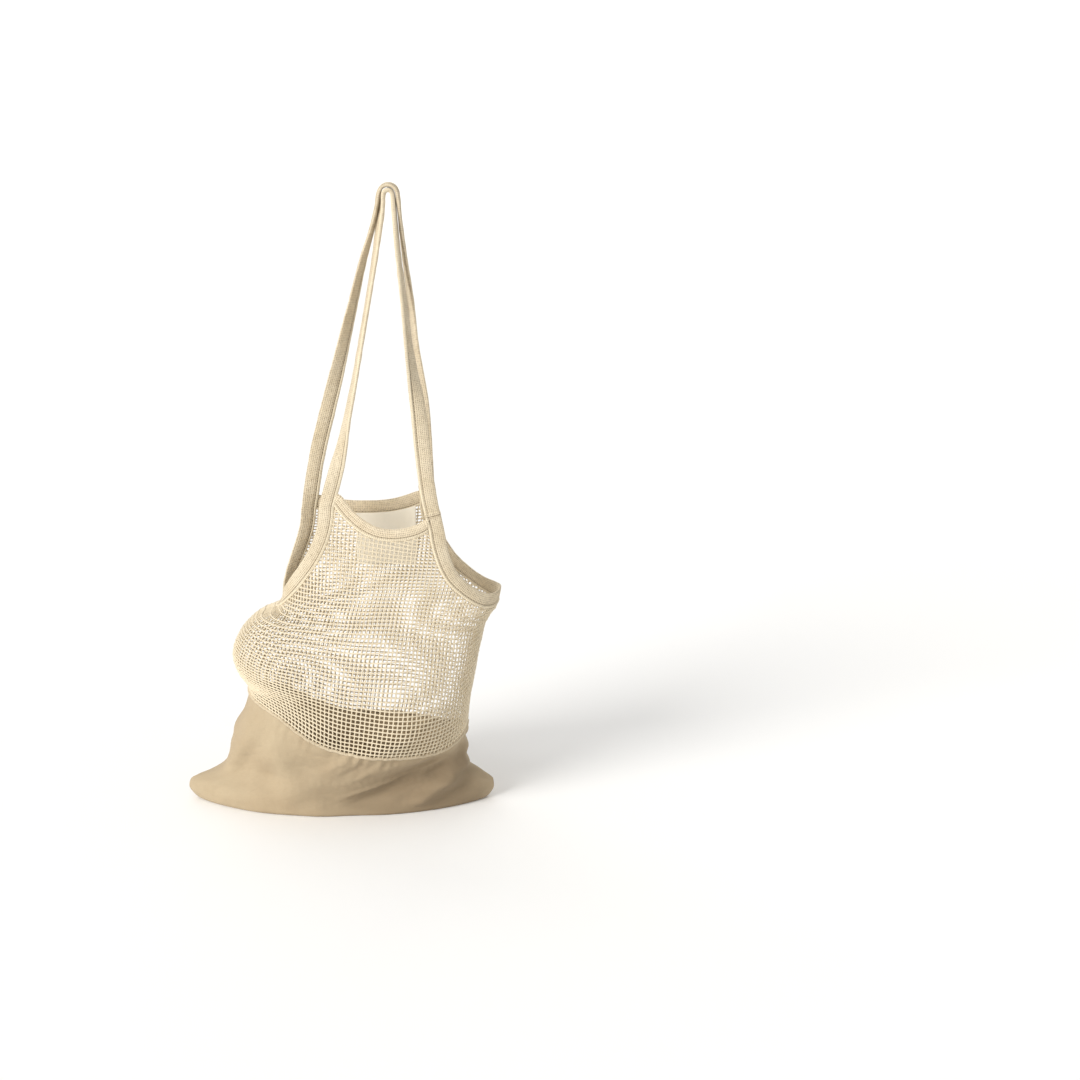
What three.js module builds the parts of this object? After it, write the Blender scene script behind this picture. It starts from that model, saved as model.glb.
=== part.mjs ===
// A net shopping bag with a cotton base and two long shoulder loops, in the form it has when full.
// Millimetres, +Z up, +X to the viewer's right, -Y towards the viewer.
// The origin is the point where a hook carries both loops, under their top bends.
import * as THREE from "three";

// Sizes of the bag
const mouthHeight = 298; // floor to the corners where neck and straps meet
const handleDrop = 292; // those corners to the hook
const bagWidth = 256; // side fold to side fold at the fullest height
const bagDepth = 150; // front to back at the fullest height
const frontNeckScoop = 20.5;
const backNeckScoop = 8;
const netWall = 1.5;
const clothWall = 2;
const seamHeight = 3; // the rolled seam between net and base cloth
const seamProud = 0.4; // how far it stands out on both faces

// Sizes of the knitted tapes and the label
const strapWidth = 15;
const strapThickness = 3.2;
const frontNeckTapeWidth = 12;
const backNeckTapeWidth = 15;
const seamAboveNeckTape = 4; // how far above a neck tape a right strap is joined
const neckTapeThickness = 2.8;
const tapeEdge = 0.6; // thickness at a tape's edges, as a share of its middle
const labelWidth = 58;
const labelHeight = 51;
const labelThickness = 1;
const labelOffset = -9; // its middle, from the hook's line
const labelTuck = 2; // how far it reaches up over the neck tape's lower edge

// The hook, over which the back loop lies on the front one
const hookRadius = 2.2;
const rollThicker = 1.3; // the strap rolls up a little on the hook: its thickness there, as a share
const rollNarrower = 0.8; // and its width there, as a share
const clearance = 0.3;
const tapeClearance = 0.5; // a tape off the net's edge, which both run in short straight lengths

// How finely the forms are cut: net gaps and the cells that make them up
const gapCountAcross = 10;
const gapCountUp = 6;
const cellCountPerGap = 2;
const stepCountPerLeg = 20;
const stepCountPerBend = 8;

const FRONT = -1;
const BACK = 1;
const LEFT = -1;
const RIGHT = 1;
const hangHeight = mouthHeight + handleDrop;
const neckTapeWidths = { [FRONT]: frontNeckTapeWidth, [BACK]: backNeckTapeWidth };
const armholeStart = 0.52; // share of the net's rows that lie below the armholes

// Level sections of the bag. height is a share of mouthHeight, left and right are shares of bagWidth
// from the hook's line, depth is a share of half bagDepth, and taper is how pointed the ends are.
const sections = [
  { height: 0.0, left: -0.77, right: 0.345, depth: 0.77, taper: 1.5 },
  { height: 0.04, left: -0.8, right: 0.37, depth: 0.76, taper: 1.6 },
  { height: 0.064, left: -0.793, right: 0.367, depth: 0.755, taper: 1.6 },
  { height: 0.091, left: -0.722, right: 0.328, depth: 0.75, taper: 1.3 },
  { height: 0.121, left: -0.664, right: 0.277, depth: 0.75, taper: 1.05 },
  { height: 0.161, left: -0.639, right: 0.27, depth: 0.79, taper: 0.85 },
  { height: 0.208, left: -0.629, right: 0.266, depth: 0.87, taper: 0.8 },
  { height: 0.255, left: -0.613, right: 0.271, depth: 0.94, taper: 0.8 },
  { height: 0.302, left: -0.586, right: 0.277, depth: 0.98, taper: 0.8 },
  { height: 0.349, left: -0.559, right: 0.283, depth: 1.0, taper: 0.8 },
  { height: 0.396, left: -0.555, right: 0.293, depth: 1.0, taper: 0.8 },
  { height: 0.45, left: -0.594, right: 0.305, depth: 1.0, taper: 0.8 },
  { height: 0.503, left: -0.611, right: 0.316, depth: 0.985, taper: 0.8 },
  { height: 0.557, left: -0.594, right: 0.33, depth: 0.95, taper: 0.82 },
  { height: 0.604, left: -0.555, right: 0.344, depth: 0.9, taper: 0.85 },
  { height: 0.638, left: -0.504, right: 0.367, depth: 0.855, taper: 0.87 },
  { height: 0.661, left: -0.438, right: 0.387, depth: 0.82, taper: 0.88 },
  { height: 0.685, left: -0.426, right: 0.391, depth: 0.787, taper: 0.9 },
  { height: 0.772, left: -0.414, right: 0.363, depth: 0.667, taper: 0.93 },
  { height: 0.879, left: -0.402, right: 0.34, depth: 0.513, taper: 0.97 },
  { height: 1.0, left: -0.391, right: 0.3125, depth: 0.4, taper: 1.0 },
];

// Heights of the net's rows as shares of mouthHeight, at five places across a panel.
// share 0 is the seam to the base cloth and share 1 the level of the neck corners.
const frontRows = [
  { share: 0.0, left: 0.396, leftMid: 0.346, middle: 0.231, rightMid: 0.201, right: 0.262 },
  { share: 0.26, left: 0.526, leftMid: 0.487, middle: 0.433, rightMid: 0.413, right: 0.466 },
  { share: 0.52, left: 0.654, leftMid: 0.641, middle: 0.638, rightMid: 0.648, right: 0.671 },
  { share: 0.76, left: 0.826, leftMid: 0.819, middle: 0.795, rightMid: 0.785, right: 0.799 },
  { share: 1.0, left: 1.014, leftMid: 1.013, middle: 0.962, rightMid: 0.908, right: 0.905 },
];
const backRows = [
  { share: 0.0, left: 0.396, leftMid: 0.32, middle: 0.225, rightMid: 0.215, right: 0.262 },
  { share: 0.26, left: 0.526, leftMid: 0.48, middle: 0.43, rightMid: 0.42, right: 0.466 },
  { share: 0.52, left: 0.654, leftMid: 0.641, middle: 0.636, rightMid: 0.648, right: 0.671 },
  { share: 0.76, left: 0.826, leftMid: 0.819, middle: 0.805, rightMid: 0.815, right: 0.83 },
  { share: 1.0, left: 0.956, leftMid: 0.955, middle: 0.952, rightMid: 0.98, right: 0.99 },
];
const acrossNames = ["left", "leftMid", "middle", "rightMid", "right"];
const acrossPlaces = [0, 0.25, 0.5, 0.75, 1];

// Where the armholes cut into each panel: inset is the neck corner's distance from the side fold
// as a share of the panel, and hollow shapes the scoop, small for a square one.
const armholes = {
  [FRONT]: { [LEFT]: { inset: 0.341, hollow: 0.75 }, [RIGHT]: { inset: 0.345, hollow: 0.325 } },
  [BACK]: { [LEFT]: { inset: 0.243, hollow: 0.7 }, [RIGHT]: { inset: 0.384, hollow: 0.36 } },
};

// Swellings and folds of the cloth. x is a share of bagWidth from the hook's line, height a share of
// mouthHeight, along and across are half lengths as shares of bagWidth, lean is in degrees from
// level, and push is a share of bagDepth, outwards where it is positive.
const swellings = [
  { side: FRONT, x: -0.42, height: 0.5, along: 0.15, across: 0.14, lean: 0, push: 0.07 },
  { side: FRONT, x: -0.03, height: 0.53, along: 0.15, across: 0.14, lean: 0, push: 0.055 },
  { side: FRONT, x: 0.06, height: 0.33, along: 0.15, across: 0.13, lean: 0, push: 0.085 },
  { side: FRONT, x: -0.22, height: 0.36, along: 0.12, across: 0.13, lean: 0, push: 0.03 },
  { side: FRONT, x: -0.2, height: 0.16, along: 0.34, across: 0.05, lean: 28, push: 0.04 },
  { side: FRONT, x: 0.05, height: 0.12, along: 0.24, across: 0.045, lean: 32, push: -0.045 },
  { side: FRONT, x: -0.45, height: 0.2, along: 0.22, across: 0.05, lean: -52, push: 0.035 },
  { side: BACK, x: -0.4, height: 0.48, along: 0.16, across: 0.14, lean: 0, push: 0.065 },
  { side: BACK, x: -0.06, height: 0.52, along: 0.15, across: 0.14, lean: 0, push: 0.05 },
  { side: BACK, x: 0.04, height: 0.32, along: 0.16, across: 0.13, lean: 0, push: 0.07 },
  { side: BACK, x: -0.16, height: 0.15, along: 0.3, across: 0.05, lean: 26, push: 0.035 },
  { side: BACK, x: -0.42, height: 0.18, along: 0.24, across: 0.05, lean: -48, push: 0.03 },
];

// Each loop's legs from the neck corner to the hook. rise is the share of the way up, out the share
// of the corner's distance that is left, turn the strap's twist in degrees, and lean how many
// degrees short of upright a leg meets the bend.
const legs = {
  [FRONT]: {
    [LEFT]: {
      lean: 8,
      path: [
        { rise: 0.0, out: 1.0, turn: 0 },
        { rise: 0.107, out: 0.845, turn: 14 },
        { rise: 0.18, out: 0.75, turn: 40 },
        { rise: 0.258, out: 0.664, turn: 60 },
        { rise: 0.338, out: 0.582, turn: 67 },
        { rise: 0.49, out: 0.433, turn: 73 },
        { rise: 0.645, out: 0.288, turn: 74 },
        { rise: 0.797, out: 0.156, turn: 72 },
        { rise: 0.87, out: 0.1, turn: 68 },
        { rise: 0.95, out: 0.03, turn: 72 },
        { rise: 1.0, out: 0.0, turn: 90 },
      ],
    },
    [RIGHT]: {
      lean: 4,
      path: [
        { rise: 0.0, out: 1.0, turn: 0 },
        { rise: 0.099, out: 0.819, turn: 2 },
        { rise: 0.15, out: 0.756, turn: 3 },
        { rise: 0.238, out: 0.672, turn: 6 },
        { rise: 0.386, out: 0.55, turn: 24 },
        { rise: 0.456, out: 0.46, turn: 48 },
        { rise: 0.533, out: 0.375, turn: 64 },
        { rise: 0.678, out: 0.255, turn: 75 },
        { rise: 0.82, out: 0.125, turn: 82 },
        { rise: 0.915, out: 0.055, turn: 86 },
        { rise: 1.0, out: 0.0, turn: 90 },
      ],
    },
  },
  [BACK]: {
    [LEFT]: {
      lean: 10,
      path: [
        { rise: 0.0, out: 1.0, turn: 0 },
        { rise: 0.192, out: 0.853, turn: 4 },
        { rise: 0.349, out: 0.685, turn: 12 },
        { rise: 0.504, out: 0.518, turn: 38 },
        { rise: 0.657, out: 0.36, turn: 58 },
        { rise: 0.807, out: 0.2, turn: 72 },
        { rise: 0.907, out: 0.075, turn: 82 },
        { rise: 0.962, out: 0.024, turn: 87 },
        { rise: 1.0, out: 0.0, turn: 90 },
      ],
    },
    [RIGHT]: {
      lean: 5,
      path: [
        { rise: 0.0, out: 1.0, turn: 0 },
        { rise: 0.199, out: 0.93, turn: 5 },
        { rise: 0.354, out: 0.81, turn: 16 },
        { rise: 0.428, out: 0.7, turn: 32 },
        { rise: 0.507, out: 0.585, turn: 48 },
        { rise: 0.659, out: 0.46, turn: 66 },
        { rise: 0.81, out: 0.24, turn: 76 },
        { rise: 0.911, out: 0.1, turn: 84 },
        { rise: 1.0, out: 0.0, turn: 90 },
      ],
    },
  },
};

// A smooth curve through given values, with no overshoot between them
function smooth(xs, ys) {
  const last = xs.length - 1;
  const steps = xs.slice(1).map((x, i) => x - xs[i]);
  const grades = steps.map((step, i) => (ys[i + 1] - ys[i]) / step);
  const slopes = xs.map((_, i) => {
    if (i === 0) return grades[0];
    if (i === last) return grades[last - 1];
    const [a, b] = [grades[i - 1], grades[i]];
    const mean = (a * steps[i] + b * steps[i - 1]) / (steps[i - 1] + steps[i]);
    const limit = Math.min(Math.abs(a), Math.abs(b), Math.abs(mean) / 2);
    return (Math.sign(a) + Math.sign(b)) * limit;
  });
  return (x) => {
    const at = Math.min(Math.max(x, xs[0]), xs[last]);
    const i = Math.max(0, Math.min(last - 1, xs.findLastIndex((known) => known <= at)));
    const t = (at - xs[i]) / steps[i];
    const [a, b] = [slopes[i] * steps[i], slopes[i + 1] * steps[i]];
    const rise = ys[i + 1] - ys[i];
    return ys[i] + t * (a + t * (3 * rise - 2 * a - b + t * (a + b - 2 * rise)));
  };
}

const column = (table, by, name) => smooth(table.map((row) => row[by]), table.map((row) => row[name]));
const sectionColumns = Object.fromEntries(
  ["left", "right", "depth", "taper"].map((name) => [name, column(sections, "height", name)]),
);
const rowColumns = {
  [FRONT]: acrossNames.map((name) => column(frontRows, "share", name)),
  [BACK]: acrossNames.map((name) => column(backRows, "share", name)),
};
const mix = (a, b, t) => a + (b - a) * t;

// Height above the floor of the net's row at a share, at a place from 0, left, to 1, right
function rowHeight(side, place, share) {
  return mouthHeight * smooth(acrossPlaces, rowColumns[side].map((curve) => curve(share)))(place);
}

// How far the cloth stands out at a point because of what fills the bag and how it folds
function swelling(side, x, height) {
  return swellings
    .filter((bulge) => bulge.side === side)
    .reduce((sum, bulge) => {
      const lean = THREE.MathUtils.degToRad(bulge.lean);
      const [dx, dh] = [x - bulge.x * bagWidth, height - bulge.height * mouthHeight];
      const along = (dx * Math.cos(lean) + dh * Math.sin(lean)) / (bulge.along * bagWidth);
      const across = (dh * Math.cos(lean) - dx * Math.sin(lean)) / (bulge.across * bagWidth);
      return sum + bulge.push * bagDepth * Math.exp(-along * along - across * across);
    }, 0);
}

// A point of the bag's wall, at an inset from its outer face. apart holds the panels off each other.
function wallPoint(side, place, height, inset, apart = 0) {
  const level = height / mouthHeight;
  const left = sectionColumns.left(level) * bagWidth + inset;
  const right = sectionColumns.right(level) * bagWidth - inset;
  const depth = (sectionColumns.depth(level) * bagDepth) / 2 - inset;
  const across = Math.max(0, Math.sin(Math.PI * place));
  const x = (left + right) / 2 - ((right - left) / 2) * Math.cos(Math.PI * place);
  const bulge = swelling(side, x, height) * Math.sqrt(across);
  const y = side * (apart + depth * across ** sectionColumns.taper(level) + bulge);
  return new THREE.Vector3(x, y, height - hangHeight);
}

// The wall's outward direction at a point
function outwardAt(side, place, height) {
  const step = 0.01;
  const inside = Math.min(Math.max(place, 2 * step), 1 - 2 * step);
  const point = (dPlace, dHeight) => wallPoint(side, inside + dPlace, height + dHeight, 0);
  const across = point(step, 0).sub(point(-step, 0));
  const up = point(0, 1).sub(point(0, -1));
  const outward = across.cross(up).multiplyScalar(-side);
  if (place < step || place > 1 - step) outward.y = 0;
  return outward.normalize();
}

// A point of a net panel, at a depth under its outer face
function netPoint(side, place, height, depth) {
  const outward = outwardAt(side, place, height);
  return wallPoint(side, place, height, 0, clearance / 2).addScaledVector(outward, -depth);
}

// A closed solid from points and triangles, turned so that its faces point outwards
function solid(points, triangles) {
  const volume = triangles.reduce((sum, [a, b, c]) => {
    const normal = new THREE.Vector3().crossVectors(points[b], points[c]);
    return sum + points[a].dot(normal);
  }, 0);
  const facing = volume < 0 ? triangles.map(([a, b, c]) => [a, c, b]) : triangles;
  const geometry = new THREE.BufferGeometry().setFromPoints(points);
  geometry.setIndex(facing.flat());
  geometry.computeVertexNormals();
  return geometry;
}

const quad = (a, b, c, d) => [[a, b, c], [a, c, d]];

// A solid through rings of points, closed at its ends, or onto itself where it is a loop
function loft(rings, loop = false) {
  const size = rings[0].length;
  const at = (ring, i) => (ring % rings.length) * size + (i % size);
  const triangles = [];
  const spans = loop ? rings.length : rings.length - 1;
  for (let ring = 0; ring < spans; ring++)
    for (let i = 0; i < size; i++)
      triangles.push(...quad(at(ring, i), at(ring, i + 1), at(ring + 1, i + 1), at(ring + 1, i)));
  if (!loop)
    for (let i = 1; i < size - 1; i++) {
      triangles.push([at(0, 0), at(0, i + 1), at(0, i)]);
      triangles.push([at(rings.length - 1, 0), at(rings.length - 1, i), at(rings.length - 1, i + 1)]);
    }
  return solid(rings.flat(), triangles);
}

// A wall between two grids of points, cut through where isGap says so
function wall(outer, inner, isGap) {
  const [columns, rows] = [outer.length - 1, outer[0].length - 1];
  const half = (columns + 1) * (rows + 1);
  const at = (i, j, face) => face * half + i * (rows + 1) + j;
  const filled = (i, j) => i >= 0 && j >= 0 && i < columns && j < rows && !isGap(i, j);
  const triangles = [];
  for (let i = 0; i < columns; i++)
    for (let j = 0; j < rows; j++) {
      if (!filled(i, j)) continue;
      const corners = [[i, j], [i + 1, j], [i + 1, j + 1], [i, j + 1]];
      const beside = [[i, j - 1], [i + 1, j], [i, j + 1], [i - 1, j]];
      triangles.push(...quad(...corners.map(([a, b]) => at(a, b, 0))));
      triangles.push(...quad(...corners.map(([a, b]) => at(a, b, 1)).reverse()));
      beside.forEach(([a, b], k) => {
        if (filled(a, b)) return;
        const [from, to] = [corners[k], corners[(k + 1) % 4]];
        triangles.push(...quad(at(...to, 0), at(...from, 0), at(...from, 1), at(...to, 1)));
      });
    }
  return solid([...outer.flat(), ...inner.flat()], triangles);
}

// Drops the points that no triangle uses, which the gaps leave behind
function withoutLoosePoints(geometry) {
  const used = [...new Set(geometry.index.array)];
  const place = new Map(used.map((old, now) => [old, now]));
  const position = geometry.getAttribute("position");
  const points = used.map((i) => new THREE.Vector3().fromBufferAttribute(position, i));
  const kept = new THREE.BufferGeometry().setFromPoints(points);
  kept.setIndex([...geometry.index.array].map((i) => place.get(i)));
  kept.computeVertexNormals();
  return kept;
}

// Where an armhole's edge runs, from the side fold at 0 to the neck corner at 1
function armholeEdge(side, end, share) {
  const { inset, hollow } = armholes[side][end];
  const inward = 1 - (1 - share) ** 2;
  const rise = 1 - Math.sqrt(Math.max(0, 1 - inward ** (1 / hollow)));
  const place = end === LEFT ? inset * inward : 1 - inset * inward;
  return { place, share: mix(armholeStart, 1, rise) };
}

// Where the neck's edge runs, from the left corner at 0 to the right one at 1
function neckEdge(side, share) {
  const scoop = side === FRONT ? frontNeckScoop : backNeckScoop;
  const place = mix(armholes[side][LEFT].inset, 1 - armholes[side][RIGHT].inset, share);
  const length = rowHeight(side, place, 1) - rowHeight(side, place, 0);
  const cut = (scoop / length) * Math.max(0, Math.sin(Math.PI * share)) ** 0.8;
  return { place, share: 1 - cut };
}

// The middle of a panel's edge, where a tape sits against it
const edgePoint = (side, { place, share }) =>
  netPoint(side, place, rowHeight(side, place, share), netWall / 2);

// Shares along an edge that cut it into equal lengths
function evenShares(edge, count, side) {
  const samples = 240;
  const lengths = [0];
  let before = edgePoint(side, edge(0));
  for (let i = 1; i <= samples; i++) {
    const here = edgePoint(side, edge(i / samples));
    lengths.push(lengths[i - 1] + here.distanceTo(before));
    before = here;
  }
  return Array.from({ length: count + 1 }, (_, k) => {
    const target = (lengths[samples] * k) / count;
    const i = Math.max(1, lengths.findIndex((length) => length >= target - 1e-9));
    return (i - 1 + (target - lengths[i - 1]) / (lengths[i] - lengths[i - 1])) / samples;
  });
}

const cellsAcross = gapCountAcross * (cellCountPerGap + 1) + 1;
const cellsUp = gapCountUp * (cellCountPerGap + 1) + 1;
const armholeCells = Math.floor(cellsAcross / 3);
const neckCells = cellsAcross - 2 * armholeCells;

// The top edge of a panel, as one list from the left side fold to the right one
function topEdge(side) {
  const scoop = (end) => {
    const edge = (share) => armholeEdge(side, end, share);
    return evenShares(edge, armholeCells, side).map(edge);
  };
  const neck = Array.from({ length: neckCells - 1 }, (_, i) => neckEdge(side, (i + 1) / neckCells));
  return [...scoop(LEFT), ...neck, ...scoop(RIGHT).reverse()];
}
const topEdges = { [FRONT]: topEdge(FRONT), [BACK]: topEdge(BACK) };
const seamPlaces = Array.from({ length: cellsAcross + 1 }, (_, i) => i / cellsAcross);

// A net panel, from the seam up to its armholes and neck
function netPanel(side) {
  const lift = seamHeight / 2 + clearance;
  const grid = (depth) =>
    seamPlaces.map((foot, i) =>
      Array.from({ length: cellsUp + 1 }, (_, j) => {
        const up = j / cellsUp;
        const place = mix(foot, topEdges[side][i].place, up);
        const height = rowHeight(side, place, topEdges[side][i].share * up) + lift * (1 - up);
        return netPoint(side, place, height, depth);
      }),
    );
  const period = cellCountPerGap + 1;
  const isGap = (i, j) => i % period !== 0 && j % period !== 0;
  return withoutLoosePoints(wall(grid(0), grid(netWall), isGap));
}

// A level ring round the bag: front from left to right, then back from right to left
function ringRound(heightAt, inset) {
  const front = seamPlaces.map((place) => wallPoint(FRONT, place, heightAt(FRONT, place), inset));
  const back = seamPlaces
    .slice(1, -1)
    .reverse()
    .map((place) => wallPoint(BACK, place, heightAt(BACK, place), inset));
  return [...front, ...back];
}

// The rolled seam that joins net and base cloth
function rolledSeam() {
  const edge = (up, inset) => ringRound((side, place) => rowHeight(side, place, 0) + up, inset);
  const half = seamHeight / 2;
  const inside = clothWall + seamProud;
  const rings = [edge(-half, -seamProud), edge(half, -seamProud), edge(half, inside), edge(-half, inside)];
  return loft(rings, true);
}

// The base cloth: a pouch with a flat floor and a pointed corner at each end
function basePouch() {
  const levels = [0, 0.1, 0.2, 0.3, 0.42, 0.55, 0.7, 0.85, 1];
  const top = (side, place) => rowHeight(side, place, 0) - seamHeight / 2 - clearance;
  const outer = levels.map((level) => ringRound((side, place) => level * top(side, place), 0));
  const inner = levels.map((level) =>
    ringRound((side, place) => mix(clothWall, top(side, place), level), clothWall),
  );
  const rings = [...outer, ...inner.reverse()];
  const size = rings[0].length;
  const at = (ring, i) => ring * size + (i % size);
  const triangles = [];
  for (let ring = 0; ring < rings.length - 1; ring++)
    for (let i = 0; i < size; i++)
      triangles.push(...quad(at(ring, i), at(ring, i + 1), at(ring + 1, i + 1), at(ring + 1, i)));
  const middles = [rings[0], rings[rings.length - 1]].map((ring) =>
    ring.reduce((sum, point) => sum.add(point), new THREE.Vector3()).divideScalar(size),
  );
  const [floor, inside] = [rings.length * size, rings.length * size + 1];
  for (let i = 0; i < size; i++) {
    triangles.push([floor, at(0, i + 1), at(0, i)]);
    triangles.push([inside, at(rings.length - 1, i), at(rings.length - 1, i + 1)]);
  }
  return solid([...rings.flat(), ...middles], triangles);
}

// One cross-section of a tape: a flat hexagon round a middle point, square to its run.
// roll is how far it has rolled up, from 0 to 1.
function tapeRing({ middle, width, along, roll = 0 }, size, thickness) {
  const face = new THREE.Vector3().crossVectors(along, width).normalize();
  const broad = size * mix(1, rollNarrower, roll);
  const half = (thickness * mix(1, rollThicker, roll)) / 2;
  const edge = half * tapeEdge;
  const outline = [[-0.5, -edge], [0, -half], [0.5, -edge], [0.5, edge], [0, half], [-0.5, edge]];
  return outline.map(([across, out]) =>
    middle.clone().addScaledVector(width, across * broad).addScaledVector(face, out),
  );
}

const tape = (stations, size, thickness) =>
  loft(stations.map((station) => tapeRing(station, size, thickness)));

// Stations of a tape that runs beside an edge of the net, off it by the clearance
function besideEdge(edge, size, sense) {
  const seats = edge.map((entry) => edgePoint(entry.side, entry));
  return edge.map((entry, i) => {
    const along = seats[Math.min(i + 1, seats.length - 1)].clone().sub(seats[Math.max(i - 1, 0)]).normalize();
    const height = rowHeight(entry.side, entry.place, entry.share);
    const width = outwardAt(entry.side, entry.place, height).cross(along).normalize().multiplyScalar(sense);
    const middle = seats[i].clone().addScaledVector(width, tapeClearance + size / 2);
    return { middle, width, along, seat: seats[i] };
  });
}

// An armhole's edge from the front neck corner, round the side fold, to the back neck corner
function armholeRun(end) {
  const half = (side) => {
    const top = topEdges[side].map((entry) => ({ ...entry, side }));
    return end === LEFT ? top.slice(0, armholeCells + 1) : top.slice(-armholeCells - 1).reverse();
  };
  const [front, back] = [half(FRONT), half(BACK)];
  const run = besideEdge([...front.reverse(), ...back.slice(1)], strapWidth, end === LEFT ? -1 : 1);
  const fold = run[armholeCells];
  fold.middle.y = 0;
  return run;
}
const armholeRuns = { [LEFT]: armholeRun(LEFT), [RIGHT]: armholeRun(RIGHT) };
const cornerStation = (side, end) => armholeRuns[end][side === FRONT ? 0 : armholeRuns[end].length - 1];

// A point of a loop's bend over the hook, at an angle from level on the right
function bendPoint(side, degrees) {
  const thickness = strapThickness * rollThicker;
  const radius = hookRadius + thickness / 2 + (side === BACK ? thickness + clearance : 0);
  const angle = THREE.MathUtils.degToRad(degrees);
  return new THREE.Vector3(radius * Math.cos(angle), 0, radius * Math.sin(angle) - hookRadius);
}

// A station on a loop's leg, at a share of the way from the neck corner to the bend
function legStation(side, end, rise) {
  const corner = cornerStation(side, end);
  const { lean, path } = legs[side][end];
  const out = column(path, "rise", "out");
  const turn = column(path, "rise", "turn");
  const bend = bendPoint(side, end === LEFT ? 180 - lean : lean);
  const middleAt = (share) =>
    new THREE.Vector3(
      mix(bend.x, corner.middle.x, out(share)),
      mix(corner.middle.y, bend.y, share),
      mix(corner.middle.z, bend.z, share),
    );
  const step = 0.01;
  const along = middleAt(Math.min(1, rise + step)).sub(middleAt(Math.max(0, rise - step))).normalize();
  const angle = THREE.MathUtils.degToRad(turn(rise));
  const free = new THREE.Vector3(end * Math.cos(angle), -side * Math.sin(angle), 0);
  const settled = THREE.MathUtils.smoothstep(rise, 0, 0.1);
  const width = corner.width.clone().lerp(free, settled);
  width.addScaledVector(along, -width.dot(along)).normalize();
  return { middle: middleAt(rise), width, along, roll: THREE.MathUtils.smoothstep(rise, 0.75, 1) };
}

// The bend over the hook, from right to left
function bendStations(side) {
  const [start, stop] = [legs[side][RIGHT].lean, 180 - legs[side][LEFT].lean];
  return Array.from({ length: stepCountPerBend - 1 }, (_, i) => {
    const degrees = mix(start, stop, (i + 1) / stepCountPerBend);
    const angle = THREE.MathUtils.degToRad(degrees);
    const along = new THREE.Vector3(-Math.sin(angle), 0, Math.cos(angle));
    return { middle: bendPoint(side, degrees), width: new THREE.Vector3(0, -side, 0), along, roll: 1 };
  });
}

const backwards = (stations) => [...stations]
  .reverse()
  .map(({ along, ...rest }) => ({ ...rest, along: along.clone().negate() }));

// The cross seam where the long strap starts and ends, just above the neck tape on the right
const crossSeamRise = (side) => {
  const corner = cornerStation(side, RIGHT);
  return (neckTapeWidths[side] + seamAboveNeckTape) / -corner.middle.z;
};

// A leg's stations from a share of its rise up to the bend
function legRun(side, end, from) {
  const rises = Array.from({ length: stepCountPerLeg + 1 }, (_, i) => mix(from, 1, i / stepCountPerLeg));
  return rises.map((rise) => legStation(side, end, rise));
}

// The long strap: front loop, left armhole and back loop in one length of tape
function longStrap() {
  const startRise = (side) => crossSeamRise(side) + clearance / handleDrop;
  const firstRise = 1 / stepCountPerLeg;
  const stations = [
    ...legRun(FRONT, RIGHT, startRise(FRONT)),
    ...bendStations(FRONT),
    ...backwards(legRun(FRONT, LEFT, firstRise)),
    ...armholeRuns[LEFT],
    ...legRun(BACK, LEFT, firstRise),
    ...backwards(bendStations(BACK)),
    ...backwards(legRun(BACK, RIGHT, startRise(BACK))),
  ];
  return tape(stations, strapWidth, strapThickness);
}

// The tape round the right armhole, between the two cross seams
function rightArmholeTape() {
  const ends = [FRONT, BACK].map((side) => legStation(side, RIGHT, crossSeamRise(side)));
  const stations = [...backwards([ends[0]]), ...armholeRuns[RIGHT], ends[1]];
  return tape(stations, strapWidth, strapThickness);
}

// Stations of a neck tape along the neck's edge
function neckRun(side) {
  const run = Array.from({ length: neckCells + 1 }, (_, i) => ({ ...neckEdge(side, i / neckCells), side }));
  return besideEdge(run, neckTapeWidths[side], side === FRONT ? 1 : -1);
}

// A neck tape, whose ends are cut to lie along the straps
function neckTape(side) {
  const stations = neckRun(side);
  [LEFT, RIGHT].forEach((end) => {
    const station = end === LEFT ? stations[0] : stations[neckCells];
    const next = end === LEFT ? stations[1] : stations[neckCells - 1];
    const inward = next.seat.clone().sub(station.seat).normalize();
    const corner = cornerStation(side, end);
    const beyond = legStation(side, end, 1 / stepCountPerLeg);
    const innerEdge = (place) => place.middle.clone().addScaledVector(place.width, -strapWidth / 2);
    const along = innerEdge(beyond).sub(innerEdge(corner)).normalize();
    const foot = station.seat.clone().addScaledVector(inward, 3 * clearance);
    station.width = along;
    station.middle = foot.addScaledVector(along, clearance + neckTapeWidths[side] / 2);
  });
  return tape(stations, neckTapeWidths[side], neckTapeThickness);
}

// The plain label that hangs inside from the back neck tape, whose lower edge its top follows
function neckLabel() {
  const cells = 6;
  const places = Array.from({ length: cells + 1 }, (_, i) => i / cells);
  const lowerEdge = neckRun(BACK).map(({ middle, width }) =>
    middle.clone().addScaledVector(width, -backNeckTapeWidth / 2),
  );
  const [xs, ys, zs] = ["x", "y", "z"].map((axis) => lowerEdge.map((point) => point[axis]));
  const [edgeY, edgeZ] = [smooth(xs, ys), smooth(xs, zs)];
  const foot = Math.min(...zs) + labelTuck - labelHeight;
  const grid = (inset) =>
    places.map((across) => {
      const x = labelOffset + (across - 0.5) * labelWidth;
      const y = edgeY(x) - neckTapeThickness / 2 - clearance - inset;
      const top = edgeZ(x) + labelTuck;
      return places.map((up) => new THREE.Vector3(x, y, mix(foot, top, up)));
    });
  return wall(grid(0), grid(labelThickness), () => false);
}

// Finishes: undyed cotton net, calico, knitted tape and the label's cloth
const cotton = (color, roughness) => new THREE.MeshStandardMaterial({ color, roughness, metalness: 0 });
const netCotton = cotton(0xe6d3ae, 0.9);
const calico = cotton(0xd9caa8, 0.85);
const tapeCotton = cotton(0xe4d2ab, 0.88);
const labelCotton = cotton(0xeee5cd, 0.8);

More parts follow.
